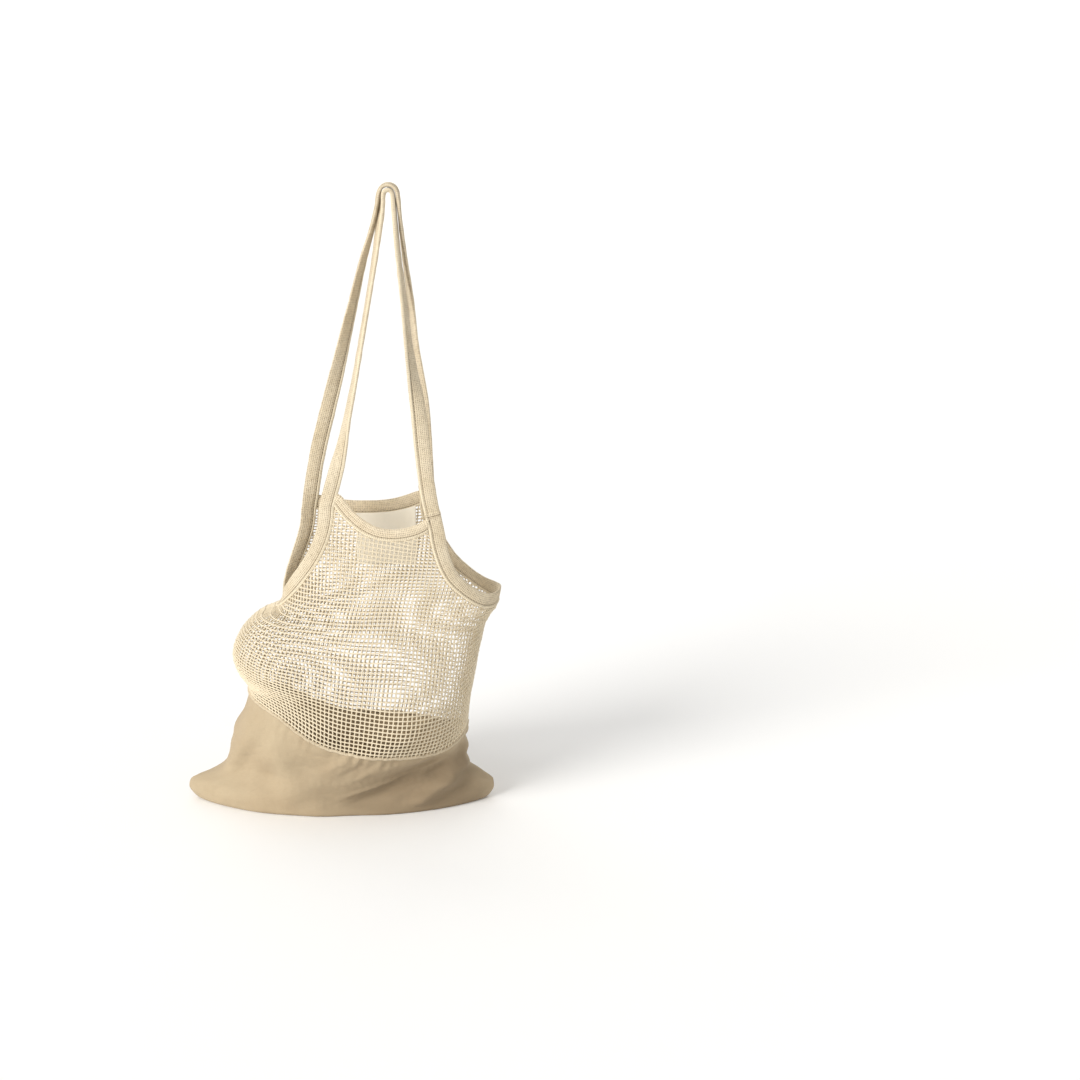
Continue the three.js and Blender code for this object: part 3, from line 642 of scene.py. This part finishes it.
def cord_tube(shapes, side, places, shares, knots, lift):
    """One cord of the net over (place, share) samples; knots tells which samples are at a crossing."""
    height = row_height(side, places, shares)
    away = outward(side, places, height)
    x_guide = places * PANEL_ARC
    # a slow sag of the rows, then small shifts in and out and sideways
    height = height + 0.3 * gentle(3, 5, x_guide, height, wavelengths=(40, 110))
    jitter = 0.16 * gentle(7, 6, x_guide, height, wavelengths=(3.1, 6.0))
    points = net_point(side, places, height, NET_WALL / 2 - lift - jitter)
    points[:, 0] += 0.16 * gentle(5, 6, height, x_guide, wavelengths=(3.3, 7.0))
    tangent = unit(np.gradient(points, axis=0))
    binormal = unit(np.cross(tangent, away))
    normal = np.cross(binormal, tangent)
    radius = np.where(knots, CORD_KNOT, CORD_MID)
    radius = radius * (1 + 0.07 * gentle(11, 4, height * 1.7, x_guide, wavelengths=(4, 11)))
    rings = points[:, None] + circles(6, normal, binormal) * radius[:, None, None]
    shapes.sweep(rings, lengths_along(points)[:, None], np.cos(np.arange(6) * math.pi / 3) * 2)


def net_panel(side, name):
    """All rows and columns of a panel, cut off at its edges."""
    shares, halves, table = cord_places(side)
    shapes = Shapes()

    def add_cord(places, rows, inside, lift):
        at_crossing = np.arange(len(places)) % 2 == 0
        for run in trimmed(np.stack([places, rows, at_crossing], axis=1), inside):
            cord_tube(shapes, side, np.clip(run[:, 0], 0, 1), run[:, 1], run[:, 2] > 0.5, lift)

    for j in range(2, len(shares), 2):
        rows = np.full(len(halves), shares[j])
        inside = inside_net(side, table[j], rows)
        if shares[j] <= ARMHOLE_START:
            inside = np.where((table[j] >= -1e-9) & (table[j] <= 1 + 1e-9), 1.0, -1.0)
        add_cord(table[j], rows, inside, CORD_APART)
    for k in range(0, len(halves), 2):
        # the front panel's outermost columns stand for both panels
        if side == FRONT or abs(halves[k]) < CELLS_ACROSS_HALF:
            places = np.clip(table[:, k], -0.02, 1.02)
            add_cord(places, shares, inside_net(side, places, shares), -CORD_APART)
    return make_piece(name, shapes, NET, [name.replace("_cords", "")])


net_panel(FRONT, "net_front_cords")
net_panel(BACK, "net_back_cords")


# ---- Tapes ----

def beside(seats, away, sense, width):
    """Middles and width directions of a tape beside an edge of the net, on one side of it."""
    along = unit(np.gradient(seats, axis=0))
    across = unit(np.cross(away, along)) * sense
    return seats + across * (TAPE_CLEARANCE + width / 2), across


def tape_frame(middles, across):
    """Directions across a tape, square to its length, and out of its face."""
    along = unit(np.gradient(middles, axis=0))
    across = unit(across - along * (across * along).sum(1, keepdims=True))
    return across, np.cross(along, across)


def swept(middles, across, x, y, *cloth):
    """A tape's skin: at each middle the outline, x across the tape and y out of its face."""
    across, face = tape_frame(middles, across)
    rings = middles[:, None] + across[:, None] * x[..., None] + face[:, None] * y[..., None]
    return Shapes().sweep(rings[:, ::-1], *cloth)


def armhole_run(end):
    """An armhole's tape from the front neck corner round the side fold to the back neck corner."""
    share = np.linspace(0, 1, 160)
    seats, away = [], []
    for side in (FRONT, BACK):
        inset, hollow = ARMHOLES[side, end]
        inward = 1 - (1 - share) ** 2
        rise = 1 - np.sqrt(np.maximum(0, 1 - inward ** (1 / hollow)))
        places = inset * inward if end == LEFT else 1 - inset * inward
        rows = ARMHOLE_START + (1 - ARMHOLE_START) * rise
        height = row_height(side, places, rows)
        seats.append(net_point(side, places, height, NET_WALL / 2))
        away.append(outward(side, places, height))
    seats = np.concatenate([seats[0][::-1], seats[1][1:]])
    away = np.concatenate([away[0][::-1], away[1][1:]])
    length = lengths_along(seats)
    even = np.linspace(0, length[-1], int(length[-1] / 1.6))
    seats = softened(points_at(even, length, seats), 3)
    away = softened(unit(points_at(even, length, away)), 3)
    return beside(seats, unit(away), -1 if end == LEFT else 1, STRAP_WIDTH)


ARMHOLE_RUNS = {end: armhole_run(end) for end in (LEFT, RIGHT)}


def corner(side, end):
    """Where an armhole's tape ends at the neck: its middle and width direction."""
    middles, across = ARMHOLE_RUNS[end]
    at = 0 if side == FRONT else -1
    return middles[at], across[at]


def bend_point(side, degrees):
    """Points of the loops' middle over the hook. The back loop lies over the front one."""
    thickness = STRAP_THICKNESS * ROLL_THICKER
    radius = HOOK_RADIUS + thickness / 2 + (thickness + CLEARANCE if side == BACK else 0)
    angle = np.radians(degrees)
    return np.stack([radius * np.cos(angle), 0 * angle, radius * np.sin(angle) - HOOK_RADIUS], axis=-1)


def leg_run(side, end, rises):
    """Middles, width directions and roll of a leg, from the neck corner up to the bend."""
    lean, path = LEGS[side, end]
    start, settled = corner(side, end)
    bend = bend_point(side, np.float64(180 - lean if end == LEFT else lean))
    out = smooth(path[:, 0], path[:, 1], rises)
    angle = np.radians(smooth(path[:, 0], path[:, 2], rises))
    middles = np.stack([
        bend[0] + (start[0] - bend[0]) * out,
        start[1] + (bend[1] - start[1]) * rises,
        start[2] + (bend[2] - start[2]) * rises,
    ], axis=1)
    free = np.stack([end * np.cos(angle), -side * np.sin(angle), 0 * angle], axis=1)
    ease = eased(np.clip(rises / 0.1, 0, 1))[:, None]
    across = settled[None] * (1 - ease) + free * ease
    return middles, tape_frame(middles, across)[0], eased(np.clip((rises - 0.75) / 0.25, 0, 1))


def bend_run(side):
    """The bend over the hook, from right to left."""
    start, stop = LEGS[side, RIGHT][0], 180 - LEGS[side, LEFT][0]
    degrees = np.linspace(start, stop, 26)[1:-1]
    middles = bend_point(side, degrees)
    across = np.tile([0.0, -side, 0.0], (len(degrees), 1))
    return middles, across, np.ones(len(degrees))


def joined(*runs):
    return [np.concatenate(parts) for parts in zip(*runs)]


def flipped(run):
    return [part[::-1] for part in run]


def resampled(run, step, smoothing=0):
    """A run with its stations at even steps."""
    middles, across, roll = run
    length = lengths_along(middles)
    even = np.linspace(0, length[-1], int(length[-1] / step) + 1)
    middles, across = (softened(points_at(even, length, values), smoothing) for values in (middles, across))
    return middles, unit(across), np.interp(even, length, roll), even


PIPING = 1.6  # half the width of the round edge on the net's side
BESIDE_GROOVE = 0.35  # from the groove to the first row of stitches
STATION = 1.5  # length of tape between one outline and the next
STITCH_RADIUS = 0.27
NECK_TURN = 26  # samples over which a neck tape turns up into the strap


def groove_at(width):
    """The place across a tape of the groove beside its piping."""
    return -width / 2 + PIPING * 1.95


def tape_outline(width, thickness, piping=PIPING):
    """The outline of a folded tape: a round piping edge on the net's side, a groove, a flat band."""
    half, top = width / 2, thickness / 2
    angles = np.radians([62, 100, 140, 180, 220, 260, 298])
    bead = -half + piping
    round_edge = min(piping, 1.08 * top)
    points = [(bead + piping * math.cos(a), round_edge * math.sin(a)) for a in angles]
    groove = bead + piping * 0.95
    lower = [(groove + 0.2, -0.34 * top), (groove + 0.75, -0.62 * top), (groove + 1.6, -0.9 * top)]
    flat = [(groove + (half - groove) * s, -h * top) for s, h in ((0.35, 0.97), (0.55, 1.0), (0.75, 0.94))]
    edge = [(half - 0.9, -0.7 * top), (half - 0.2, -0.36 * top), (half, 0)]
    below = lower + flat + edge
    above = [(x, -y) for x, y in below[-2::-1]]
    return np.array(points + below + above)


def rolled_up(roll):
    """How much narrower and thicker a tape is where it is rolled up."""
    return 1 + (ROLL_NARROWER - 1) * roll, 1 + (ROLL_THICKER - 1) * roll


def tape_mesh(run, width, thickness, seed):
    """A tape swept along a run of middles, width directions, roll and length."""
    middles, across, roll, length = run
    outline = tape_outline(width, thickness)
    broad, thick = rolled_up(roll)
    broad = broad * (1 + 0.012 * gentle(seed, 5, length, wavelengths=(9, 60)))
    thick = thick * (1 + 0.06 * gentle(seed + 1, 5, length, wavelengths=(7, 40)))
    cup = 0.35 * gentle(seed + 2, 4, length, wavelengths=(60, 160))
    x = outline[None, :, 0] * broad[:, None]
    y = outline[None, :, 1] * thick[:, None] + cup[:, None] * ((outline[None, :, 0] / (width / 2)) ** 2 - 0.4)
    return swept(middles, across, x, y, length[:, None], outline[::-1, 0] + width / 2)


def capsule(shapes, ends, radius, bow, lift, sides=6):
    """Short bowed threads, thinner at both ends. ends is an array of thread, end and coordinate."""
    steps = np.linspace(0, 1, 4)
    core = ends[:, 0, None] + (ends[:, 1] - ends[:, 0])[:, None] * steps[None, :, None]
    core = core + lift[:, None] * (bow * np.sin(math.pi * steps))[None, :, None]
    tangent = unit(ends[:, 1] - ends[:, 0])
    side = unit(np.cross(tangent, lift))
    up = np.cross(side, tangent)
    spread = radius * np.array([0.55, 1.0, 1.0, 0.55])
    rings = core[:, :, None] + circles(sides, up, side)[:, None] * spread[None, :, None, None]
    span = np.linalg.norm(ends[:, 1] - ends[:, 0], axis=1)
    for thread, length in zip(rings, span):
        shapes.sweep(thread, (steps * length)[:, None], np.arange(sides) * 2 * math.pi / sides)


def stitch_row(shapes, run, at, proud, step=2.9, length=2.0):
    """A row of stitches along a tape, at a place across it, on both faces."""
    middles, across, roll, distance = run
    across, face = tape_frame(middles, across)
    starts = np.arange(step, distance[-1] - step, step)
    broad, thick = rolled_up(roll)
    for sense in (1, -1):
        line = middles + across * (at * broad)[:, None] + face * (sense * proud * thick)[:, None]
        ends = np.stack([points_at(where, distance, line) for where in (starts, starts + length)], axis=1)
        lift = sense * unit(points_at(starts + length / 2, distance, face))
        capsule(shapes, ends, STITCH_RADIUS, 0.12, lift)


def unrolled(run):
    """A run of middles and width directions with its roll, none."""
    middles, across = run
    return middles, across, np.zeros(len(middles))


seam_rise = {
    side: (NECK_WIDTH[side] + SEAM_ABOVE_NECK_TAPE) / -corner(side, RIGHT)[0][2] for side in (FRONT, BACK)
}
rise_from = lambda start: np.linspace(start, 1, 170)
after_corner = rise_from(0.012)
strap_run = resampled(joined(
    leg_run(FRONT, RIGHT, rise_from(seam_rise[FRONT])),
    bend_run(FRONT),
    flipped(leg_run(FRONT, LEFT, after_corner)),
    unrolled(ARMHOLE_RUNS[LEFT]),
    leg_run(BACK, LEFT, after_corner),
    flipped(bend_run(BACK)),
    flipped(leg_run(BACK, RIGHT, rise_from(seam_rise[BACK]))),
), STATION, 4)
right_run = resampled(joined(
    flipped(leg_run(FRONT, RIGHT, np.linspace(0.004, seam_rise[FRONT], 12))),
    unrolled(ARMHOLE_RUNS[RIGHT]),
    leg_run(BACK, RIGHT, np.linspace(0.004, seam_rise[BACK], 12)),
), STATION, 4)

stitches = Shapes()
for name, run, seed in (("shoulder_strap", strap_run, 21), ("armhole_tape_right", right_run, 31)):
    tape = tape_mesh(run, STRAP_WIDTH, STRAP_THICKNESS, seed)
    make_piece(name + "_tape", tape, TAPE, [name])
    stitch_row(stitches, run, groove_at(STRAP_WIDTH) + BESIDE_GROOVE, 0.95)
make_piece("strap_stitches", stitches, THREAD)


def neck_run(side):
    left, right = ARMHOLES[side, LEFT][0], 1 - ARMHOLES[side, RIGHT][0]
    places = np.linspace(left - 0.008, right + 0.008, 120)
    shares = neck_share(side, places)
    height = row_height(side, places, shares)
    seats = net_point(side, places, height, NET_WALL / 2)
    sense = 1 if side == FRONT else -1
    _, across = beside(seats, outward(side, places, height), sense, NECK_WIDTH[side])
    for end, last in ((LEFT, 0), (RIGHT, len(places) - 1)):
        start = corner(side, end)[0]
        upper = leg_run(side, end, np.array([0.0, 0.03, 0.05]))[0][2]
        toward = unit((upper - start)[None])
        ease = ((1 - np.clip(np.abs(np.arange(len(places)) - last) / NECK_TURN, 0, 1)) ** 2)[:, None]
        across = unit(across * (1 - ease) + toward * ease)
    middles = seats + across * (TAPE_CLEARANCE + NECK_WIDTH[side] / 2)
    return resampled(unrolled((middles, across)), STATION, 2)


NECK_RUNS = {side: neck_run(side) for side in (FRONT, BACK)}
stitches = Shapes()
for side, name in ((FRONT, "neck_tape_front"), (BACK, "neck_tape_back")):
    run, width = NECK_RUNS[side], NECK_WIDTH[side]
    tape = tape_mesh(run, width, NECK_THICKNESS, 41 + side)
    make_piece(name + "_tape", tape, NECK_TAPE_PAINTED_LIGHT, [name])
    stitch_row(stitches, run, groove_at(width) + BESIDE_GROOVE, 0.85)
    stitch_row(stitches, run, groove_at(width) + 3.6, 1.36, step=2.6, length=1.7)
make_piece("neck_stitches", stitches, THREAD)


def cross_seam(side):
    """Where the long strap's end is sewn to the right armhole tape: the folded ridge."""
    rises = np.linspace(seam_rise[side] - 0.006, seam_rise[side] + 0.006, 7)
    middles, across, _, length = resampled(leg_run(side, RIGHT, rises), 0.5)
    outline = tape_outline(STRAP_WIDTH + 0.7, STRAP_THICKNESS + 1.2, 1.9)
    swell = (np.sin(math.pi * (length / length[-1])) ** 0.6)[:, None]
    x = outline[None, :, 0] * (0.97 + 0.03 * swell)
    y = outline[None, :, 1] * (0.86 + 0.14 * swell)
    # across the ridge the finish starts just short of the piping's groove, for one thin line of painted shade
    return swept(middles, across, x, y, outline[::-1, 0], 3.0 + length[:, None])


def cross_stitches(shapes, side):
    """Two rows of stitches across the tape, above and below the folded ridge."""
    starts = np.arange(-STRAP_WIDTH / 2 + 3, STRAP_WIDTH / 2 - 1.5, 2.4)
    for rise in (seam_rise[side] - 0.0095, seam_rise[side] + 0.0095):
        middles, across, _ = leg_run(side, RIGHT, np.linspace(rise - 0.002, rise + 0.002, 5))
        across, face = tape_frame(middles, across)
        for lift in (face[2], -face[2]):
            line = lambda at: middles[2] + across[2] * at[:, None] + lift * STRAP_THICKNESS / 2
            ends = np.stack([line(starts), line(starts + 1.7)], axis=1)
            capsule(shapes, ends, 0.3, 0.1, np.tile(lift, (len(starts), 1)))


stitches = Shapes()
for side, name in ((FRONT, "cross_seam_front"), (BACK, "cross_seam_back")):
    make_piece(name, cross_seam(side), TAPE)
    cross_stitches(stitches, side)
make_piece("cross_seam_stitches", stitches, THREAD)


# ---- Base cloth and its seam ----

SEAM_HIGH, SEAM_DEEP = 3.2, 3.0
AROUND = 440  # points in each ring of the base cloth
FLOOR_ROUND = 3.5
PUCKER_PITCH = {LEFT: 24, RIGHT: 17}  # from one pucker of a side seam to the next


def round_ring(count, make):
    """Values made along the front, at places from left to right, and back along the back."""
    places = np.linspace(0, 1, count // 2, endpoint=False)
    return np.concatenate([make(FRONT, places), make(BACK, 1 - places)])


# Creases of the base cloth, in millimetres: from x and height, to x and height, half width, push
CREASES = {
    FRONT: [
        (66, 80, -58, 32, 6, 2.6),
        (72, 64, -44, 14, 9, -3.2),
        (84, 52, 8, 8, 8, 2.4),
        (62, 57, -48, 19, 2.6, 1.9),
        (60, 47, -44, 10, 3.2, -1.7),
        (56, 70, 8, 36, 5, -2.4),
        (58, 80, 22, 50, 4.5, 2.0),
        (60, 52, 4, 12, 6, -2.8),
        (64, 40, 16, 8, 7, 2.4),
        (84, 34, 40, 6, 7, -2.0),
        (-6, 64, -34, 40, 3.4, 1.5),
        (-20, 66, -52, 42, 3.2, -1.4),
        (-36, 70, -70, 46, 4, 1.3),
        (66, 70, 58, 36, 3.5, -1.4),
        (-118, 96, -156, 30, 9, -2.4),
        (-134, 90, -174, 22, 7, 2.2),
        (-146, 36, -190, 8, 6, -2.2),
        (-92, 34, -160, 10, 11, 2.0),
        (-60, 16, 10, 6, 8, -1.6),
        (-112, 70, -84, 26, 13, 1.8),
    ],
    BACK: [
        (60, 58, -30, 22, 9, 2.2),
        (56, 40, -6, 14, 7, -1.8),
        (52, 72, 14, 44, 5, 1.8),
        (-110, 84, -150, 26, 9, -2.0),
        (-134, 84, -170, 24, 7, 2.0),
        (-40, 60, -66, 30, 4, 1.2),
        (-16, 60, -30, 36, 3.5, -1.0),
        (30, 66, 20, 40, 4, 1.0),
        (-90, 26, -160, 8, 9, 1.6),
    ],
}


def creases(side, x, height):
    total = np.zeros(np.shape(x))
    for x0, h0, x1, h1, width, push in CREASES[side]:
        run = np.array([x1 - x0, h1 - h0], float)
        length = np.hypot(*run)
        t = ((x - x0) * run[0] + (height - h0) * run[1]) / length**2
        off = ((x - x0) * run[1] - (height - h0) * run[0]) / length
        off = off + 2.2 * np.sin(t * 3.1)
        fading = eased(np.clip(1 - np.abs(t - 0.5) * 2 + 0.35, 0, 1))
        total += push * fading * np.exp(-(off / width) ** 2)
    return total


def cloth_relief(side, places, height, top):
    """How far the base cloth's folds stand out, from the floor up to the seam."""
    x = wall_point(side, places, height)[:, 0]
    below = np.maximum(top - height, 0)
    drawn_in = 0.62 * (0.8 + 0.9 * np.exp(-((x + 25) / 45) ** 2)) * np.exp(-below / 10)
    gather = gentle(51 + side, 9, x + 0.35 * below, wavelengths=(7, 26)) * drawn_in
    crumple = 0.5 * gentle(61 + side, 9, x, height, wavelengths=(18, 52))
    fine = 0.13 * gentle(71 + side, 9, x, height, wavelengths=(6, 13))
    settle = np.clip(height / 10, 0, 1) * np.clip(below / 5 + 0.25, 0, 1)
    inside = np.clip(np.sin(math.pi * places) * 4, 0.12, 1)
    folds = (1.35 * creases(side, x, height) * np.clip(below / 9, 0, 1) + crumple + fine) * settle
    # puckers where the side seams are drawn up
    right = np.exp(-(((1 - places) / 0.06) ** 2)) * np.clip((height - 34) / 8, 0, 1)
    left = np.exp(-((places / 0.05) ** 2)) * np.clip((height - 60) / 10, 0, 1)
    turns = height * 2 * math.pi
    pucker = 1.5 * np.sin(turns / PUCKER_PITCH[RIGHT] + 0.6) * right
    pucker = pucker + np.sin(turns / PUCKER_PITCH[LEFT]) * left
    return (folds + gather) * inside + pucker * np.clip(below / 6, 0, 1)


def base_ring(level, inset):
    """A ring of the cloth at a level, from 0 at the floor to 1 at the seam, rounded in at the floor."""
    def make(side, here):
        top = row_height(side, here, 0.0) - 0.6
        height = level * top
        low = np.clip(FLOOR_ROUND - height, 0, FLOOR_ROUND)
        round_in = FLOOR_ROUND - np.sqrt(np.maximum(0, FLOOR_ROUND**2 - low**2))
        away = outward(side, here, height)
        points = wall_point(side, here, height, round_in + inset)
        away[:, 2] = 0
        return points + away * cloth_relief(side, here, height, top)[:, None]
    return round_ring(AROUND, make)


def base_cloth():
    """The pouch: rings up the outside, down the inside, and a floor on both faces."""
    outer_levels = np.concatenate([[0, 0.006, 0.015, 0.027, 0.042], np.linspace(0.06, 1, 62)])
    rings = [base_ring(level, 0) for level in outer_levels]
    for level in np.linspace(1, 0, 36):
        ring = base_ring(level, CLOTH_WALL)
        ring[:, 2] += CLOTH_WALL * (1 - level)
        rings.append(ring)
    rings = np.array(rings)
    rings[0][:, 2] = -HANG_HEIGHT
    # arc length from the left fold, the same both ways round, so that the weave meets at the folds
    middle = rings[len(outer_levels) // 2]
    run = lengths_along(np.concatenate([middle, middle[:1]]))
    on_front = np.arange(AROUND) < AROUND // 2
    cloth = np.zeros(rings.shape)
    cloth[..., 0] = np.where(on_front, run[:-1], run[-1] - run[:-1])
    cloth[..., 1] = rings[..., 2] + HANG_HEIGHT
    cloth[..., 2] = np.where(on_front, 0, 40)  # gives front and back flecks of their own
    count, size = rings.shape[:2]
    index = np.arange(count * size).reshape(count, size)
    middles = np.array([rings[0].mean(0), rings[-1].mean(0)])
    under, inside = np.full(size, count * size), np.full(size, count * size + 1)
    floors = [np.stack([under, np.roll(index[0], -1), index[0]], axis=1),
              np.stack([inside, index[-1], np.roll(index[-1], -1)], axis=1)]
    points, coordinates = (np.concatenate([values.reshape(-1, 3), middles]) for values in (rings, cloth))
    return Shapes().add(points, [ring_faces(index), *floors], coordinates)


make_piece("base_pouch_cloth", base_cloth(), CALICO, ["base_pouch"])


def seam_line(count):
    """The rolled seam's middle line, the wall's outward direction and the direction down the wall."""
    def make(side, here):
        height = row_height(side, here, 0.0)
        return np.concatenate([wall_point(side, here, height, 0.55), outward(side, here, height)], axis=1)

    both = round_ring(count, make)
    line, away = both[:, :3], unit(both[:, 3:])
    line[:, 2] += 0.25 * gentle(81, 6, np.arange(count) * 1.4, wavelengths=(9, 30))
    along = unit(np.roll(line, -1, 0) - np.roll(line, 1, 0))
    return line, along, away, unit(np.cross(along, away))


def rolled_seam():
    """The rolled edge between net and base cloth, as a soft bead."""
    line, along, _, down = seam_line(560)
    away = np.cross(down, along)
    run = np.arange(len(line)) * 1.1
    swell = 1 + 0.07 * gentle(83, 6, run, wavelengths=(3, 9))
    rings = line[:, None] + circles(12, away * SEAM_DEEP / 2, down * SEAM_HIGH / 2) * swell[:, None, None]
    # the height on the bead, from which its finish paints shadow on the lower side
    height = -np.sin(np.arange(12) * math.pi / 6) * SEAM_HIGH / 2
    return Shapes().sweep(rings, run[:, None], height, closed=True)


def seam_stitches():
    """Slanted threads over the rolled seam, close together."""
    line, along, away, down = (values[::3] for values in seam_line(1120))
    upper = line + away * 0.55 - down * 1.45
    lower = line + away * 0.55 + down * 1.45 + along * 0.7
    shapes = Shapes()
    capsule(shapes, np.stack([upper, lower], axis=1), 0.24, 0.95, away, sides=5)
    return shapes


make_piece("rolled_seam_bead", rolled_seam(), ROLLED, ["rolled_seam"])
make_piece("rolled_seam_stitches", seam_stitches(), THREAD)


# ---- Label ----

LABEL_THICKNESS, LABEL_HEM = 0.55, 3.5


def label():
    """A plain label with a thin hem, hanging from under the back neck tape's lower edge."""
    middles, width = NECK_RUNS[BACK][:2]
    lower = middles - width * NECK_WIDTH[BACK] / 2
    lower = lower[np.argsort(lower[:, 0])]
    across, up = np.linspace(0, 1, 49), np.linspace(0, 1, 45)
    x = LABEL_OFFSET + (across - 0.5) * LABEL_WIDTH
    y = np.interp(x, lower[:, 0], lower[:, 1]) - NECK_THICKNESS / 2 - CLEARANCE
    tops = np.interp(x, lower[:, 0], lower[:, 2]) + LABEL_TUCK
    foot = lower[:, 2].min() + LABEL_TUCK - LABEL_HEIGHT
    grid_x, grid_up = np.meshgrid(x, up, indexing="ij")
    z = foot + (tops[:, None] - foot) * grid_up
    wave = 0.5 * (1 - grid_up) * gentle(91, 5, grid_x, z, wavelengths=(24, 60))
    edge = np.minimum(np.minimum(across, 1 - across)[:, None] * LABEL_WIDTH, grid_up * LABEL_HEIGHT)
    hem = np.where(edge < LABEL_HEM, 0.14, 0.0)
    middle_y = y[:, None] - 0.3 - wave
    faces = [middle_y + hem, middle_y - LABEL_THICKNESS - hem]
    index = np.arange(z.size).reshape(z.shape)
    back = np.stack([index[:-1, :-1], index[:-1, 1:], index[1:, 1:], index[1:, :-1]], axis=-1).reshape(-1, 4)
    border = np.concatenate([index[:, 0], index[-1, 1:], index[-2::-1, -1], index[0, -2:0:-1]])
    after = np.roll(border, -1)
    rim = np.stack([border, after, after + index.size, border + index.size], axis=1)
    points = np.concatenate([np.stack([grid_x, face, z], axis=-1).reshape(-1, 3) for face in faces])
    return Shapes().add(points, [back, back[:, ::-1] + index.size, rim], points[:, [0, 2, 1]] * [1, 1, 0])


label_piece = make_piece("neck_label_cloth", label(), LABEL, ["neck_label"])


# ---- Studio ----

FLOOR_RADIUS, RIM_RADIUS = 5.0, 1.6


def studio_floor():
    """A round pale floor that curves up at its rim, in metres."""
    curve = np.radians(np.linspace(0, 72, 16))[1:]
    rim = FLOOR_RADIUS + RIM_RADIUS * np.sin(curve)
    radii = np.concatenate([[0.02], np.linspace(0.4, FLOOR_RADIUS, 24), rim])
    heights = np.concatenate([np.zeros(25), RIM_RADIUS * (1 - np.cos(curve))]) - HANG_HEIGHT * MM
    turns = np.arange(96) * 2 * math.pi / 96
    rings = np.stack(np.broadcast_arrays(
        np.cos(turns)[None] * radii[:, None], np.sin(turns)[None] * radii[:, None], heights[:, None]
    ), axis=-1) / MM
    shapes = Shapes().sweep(rings, caps=False)
    shapes.faces.append(np.arange(len(turns))[::-1][None])
    make_object("studio_floor", shapes, FLOOR)


studio_floor()


def soft_sun(name, energy, spread, towards, color):
    """A broad soft light from one side. towards is the way it shines."""
    light = bpy.data.lights.new(name, "SUN")
    light.energy, light.angle, light.color = energy, math.radians(spread), color
    made = add_object(name, light)
    made.rotation_mode = "QUATERNION"
    made.rotation_quaternion = Vector(towards).to_track_quat("-Z", "Y")


soft_sun("key", 2.8, 30, (0.65, 0.63, -0.41), (1.0, 0.985, 0.96))
soft_sun("rear_fill", 0.8, 60, (0.3, -0.86, -0.42), (1.0, 0.99, 0.97))

world = bpy.data.worlds.new("studio_air")
world.use_nodes = True
air = world.node_tree.nodes["Background"].inputs
air["Color"].default_value, air["Strength"].default_value = (1.0, 0.992, 0.98, 1.0), 0.58
bpy.context.scene.world = world
bpy.context.scene.view_settings.view_transform = "Standard"

camera = add_object("camera", bpy.data.cameras.new("camera"))
camera.data.sensor_width = 36.0
camera.data.lens = 71.667
camera.location = (0.140, -2.0, 0.150)
camera.rotation_euler = (math.radians(76.5), 0, 0)
camera.data.clip_start, camera.data.clip_end = 0.05, 60.0
bpy.context.scene.camera = camera
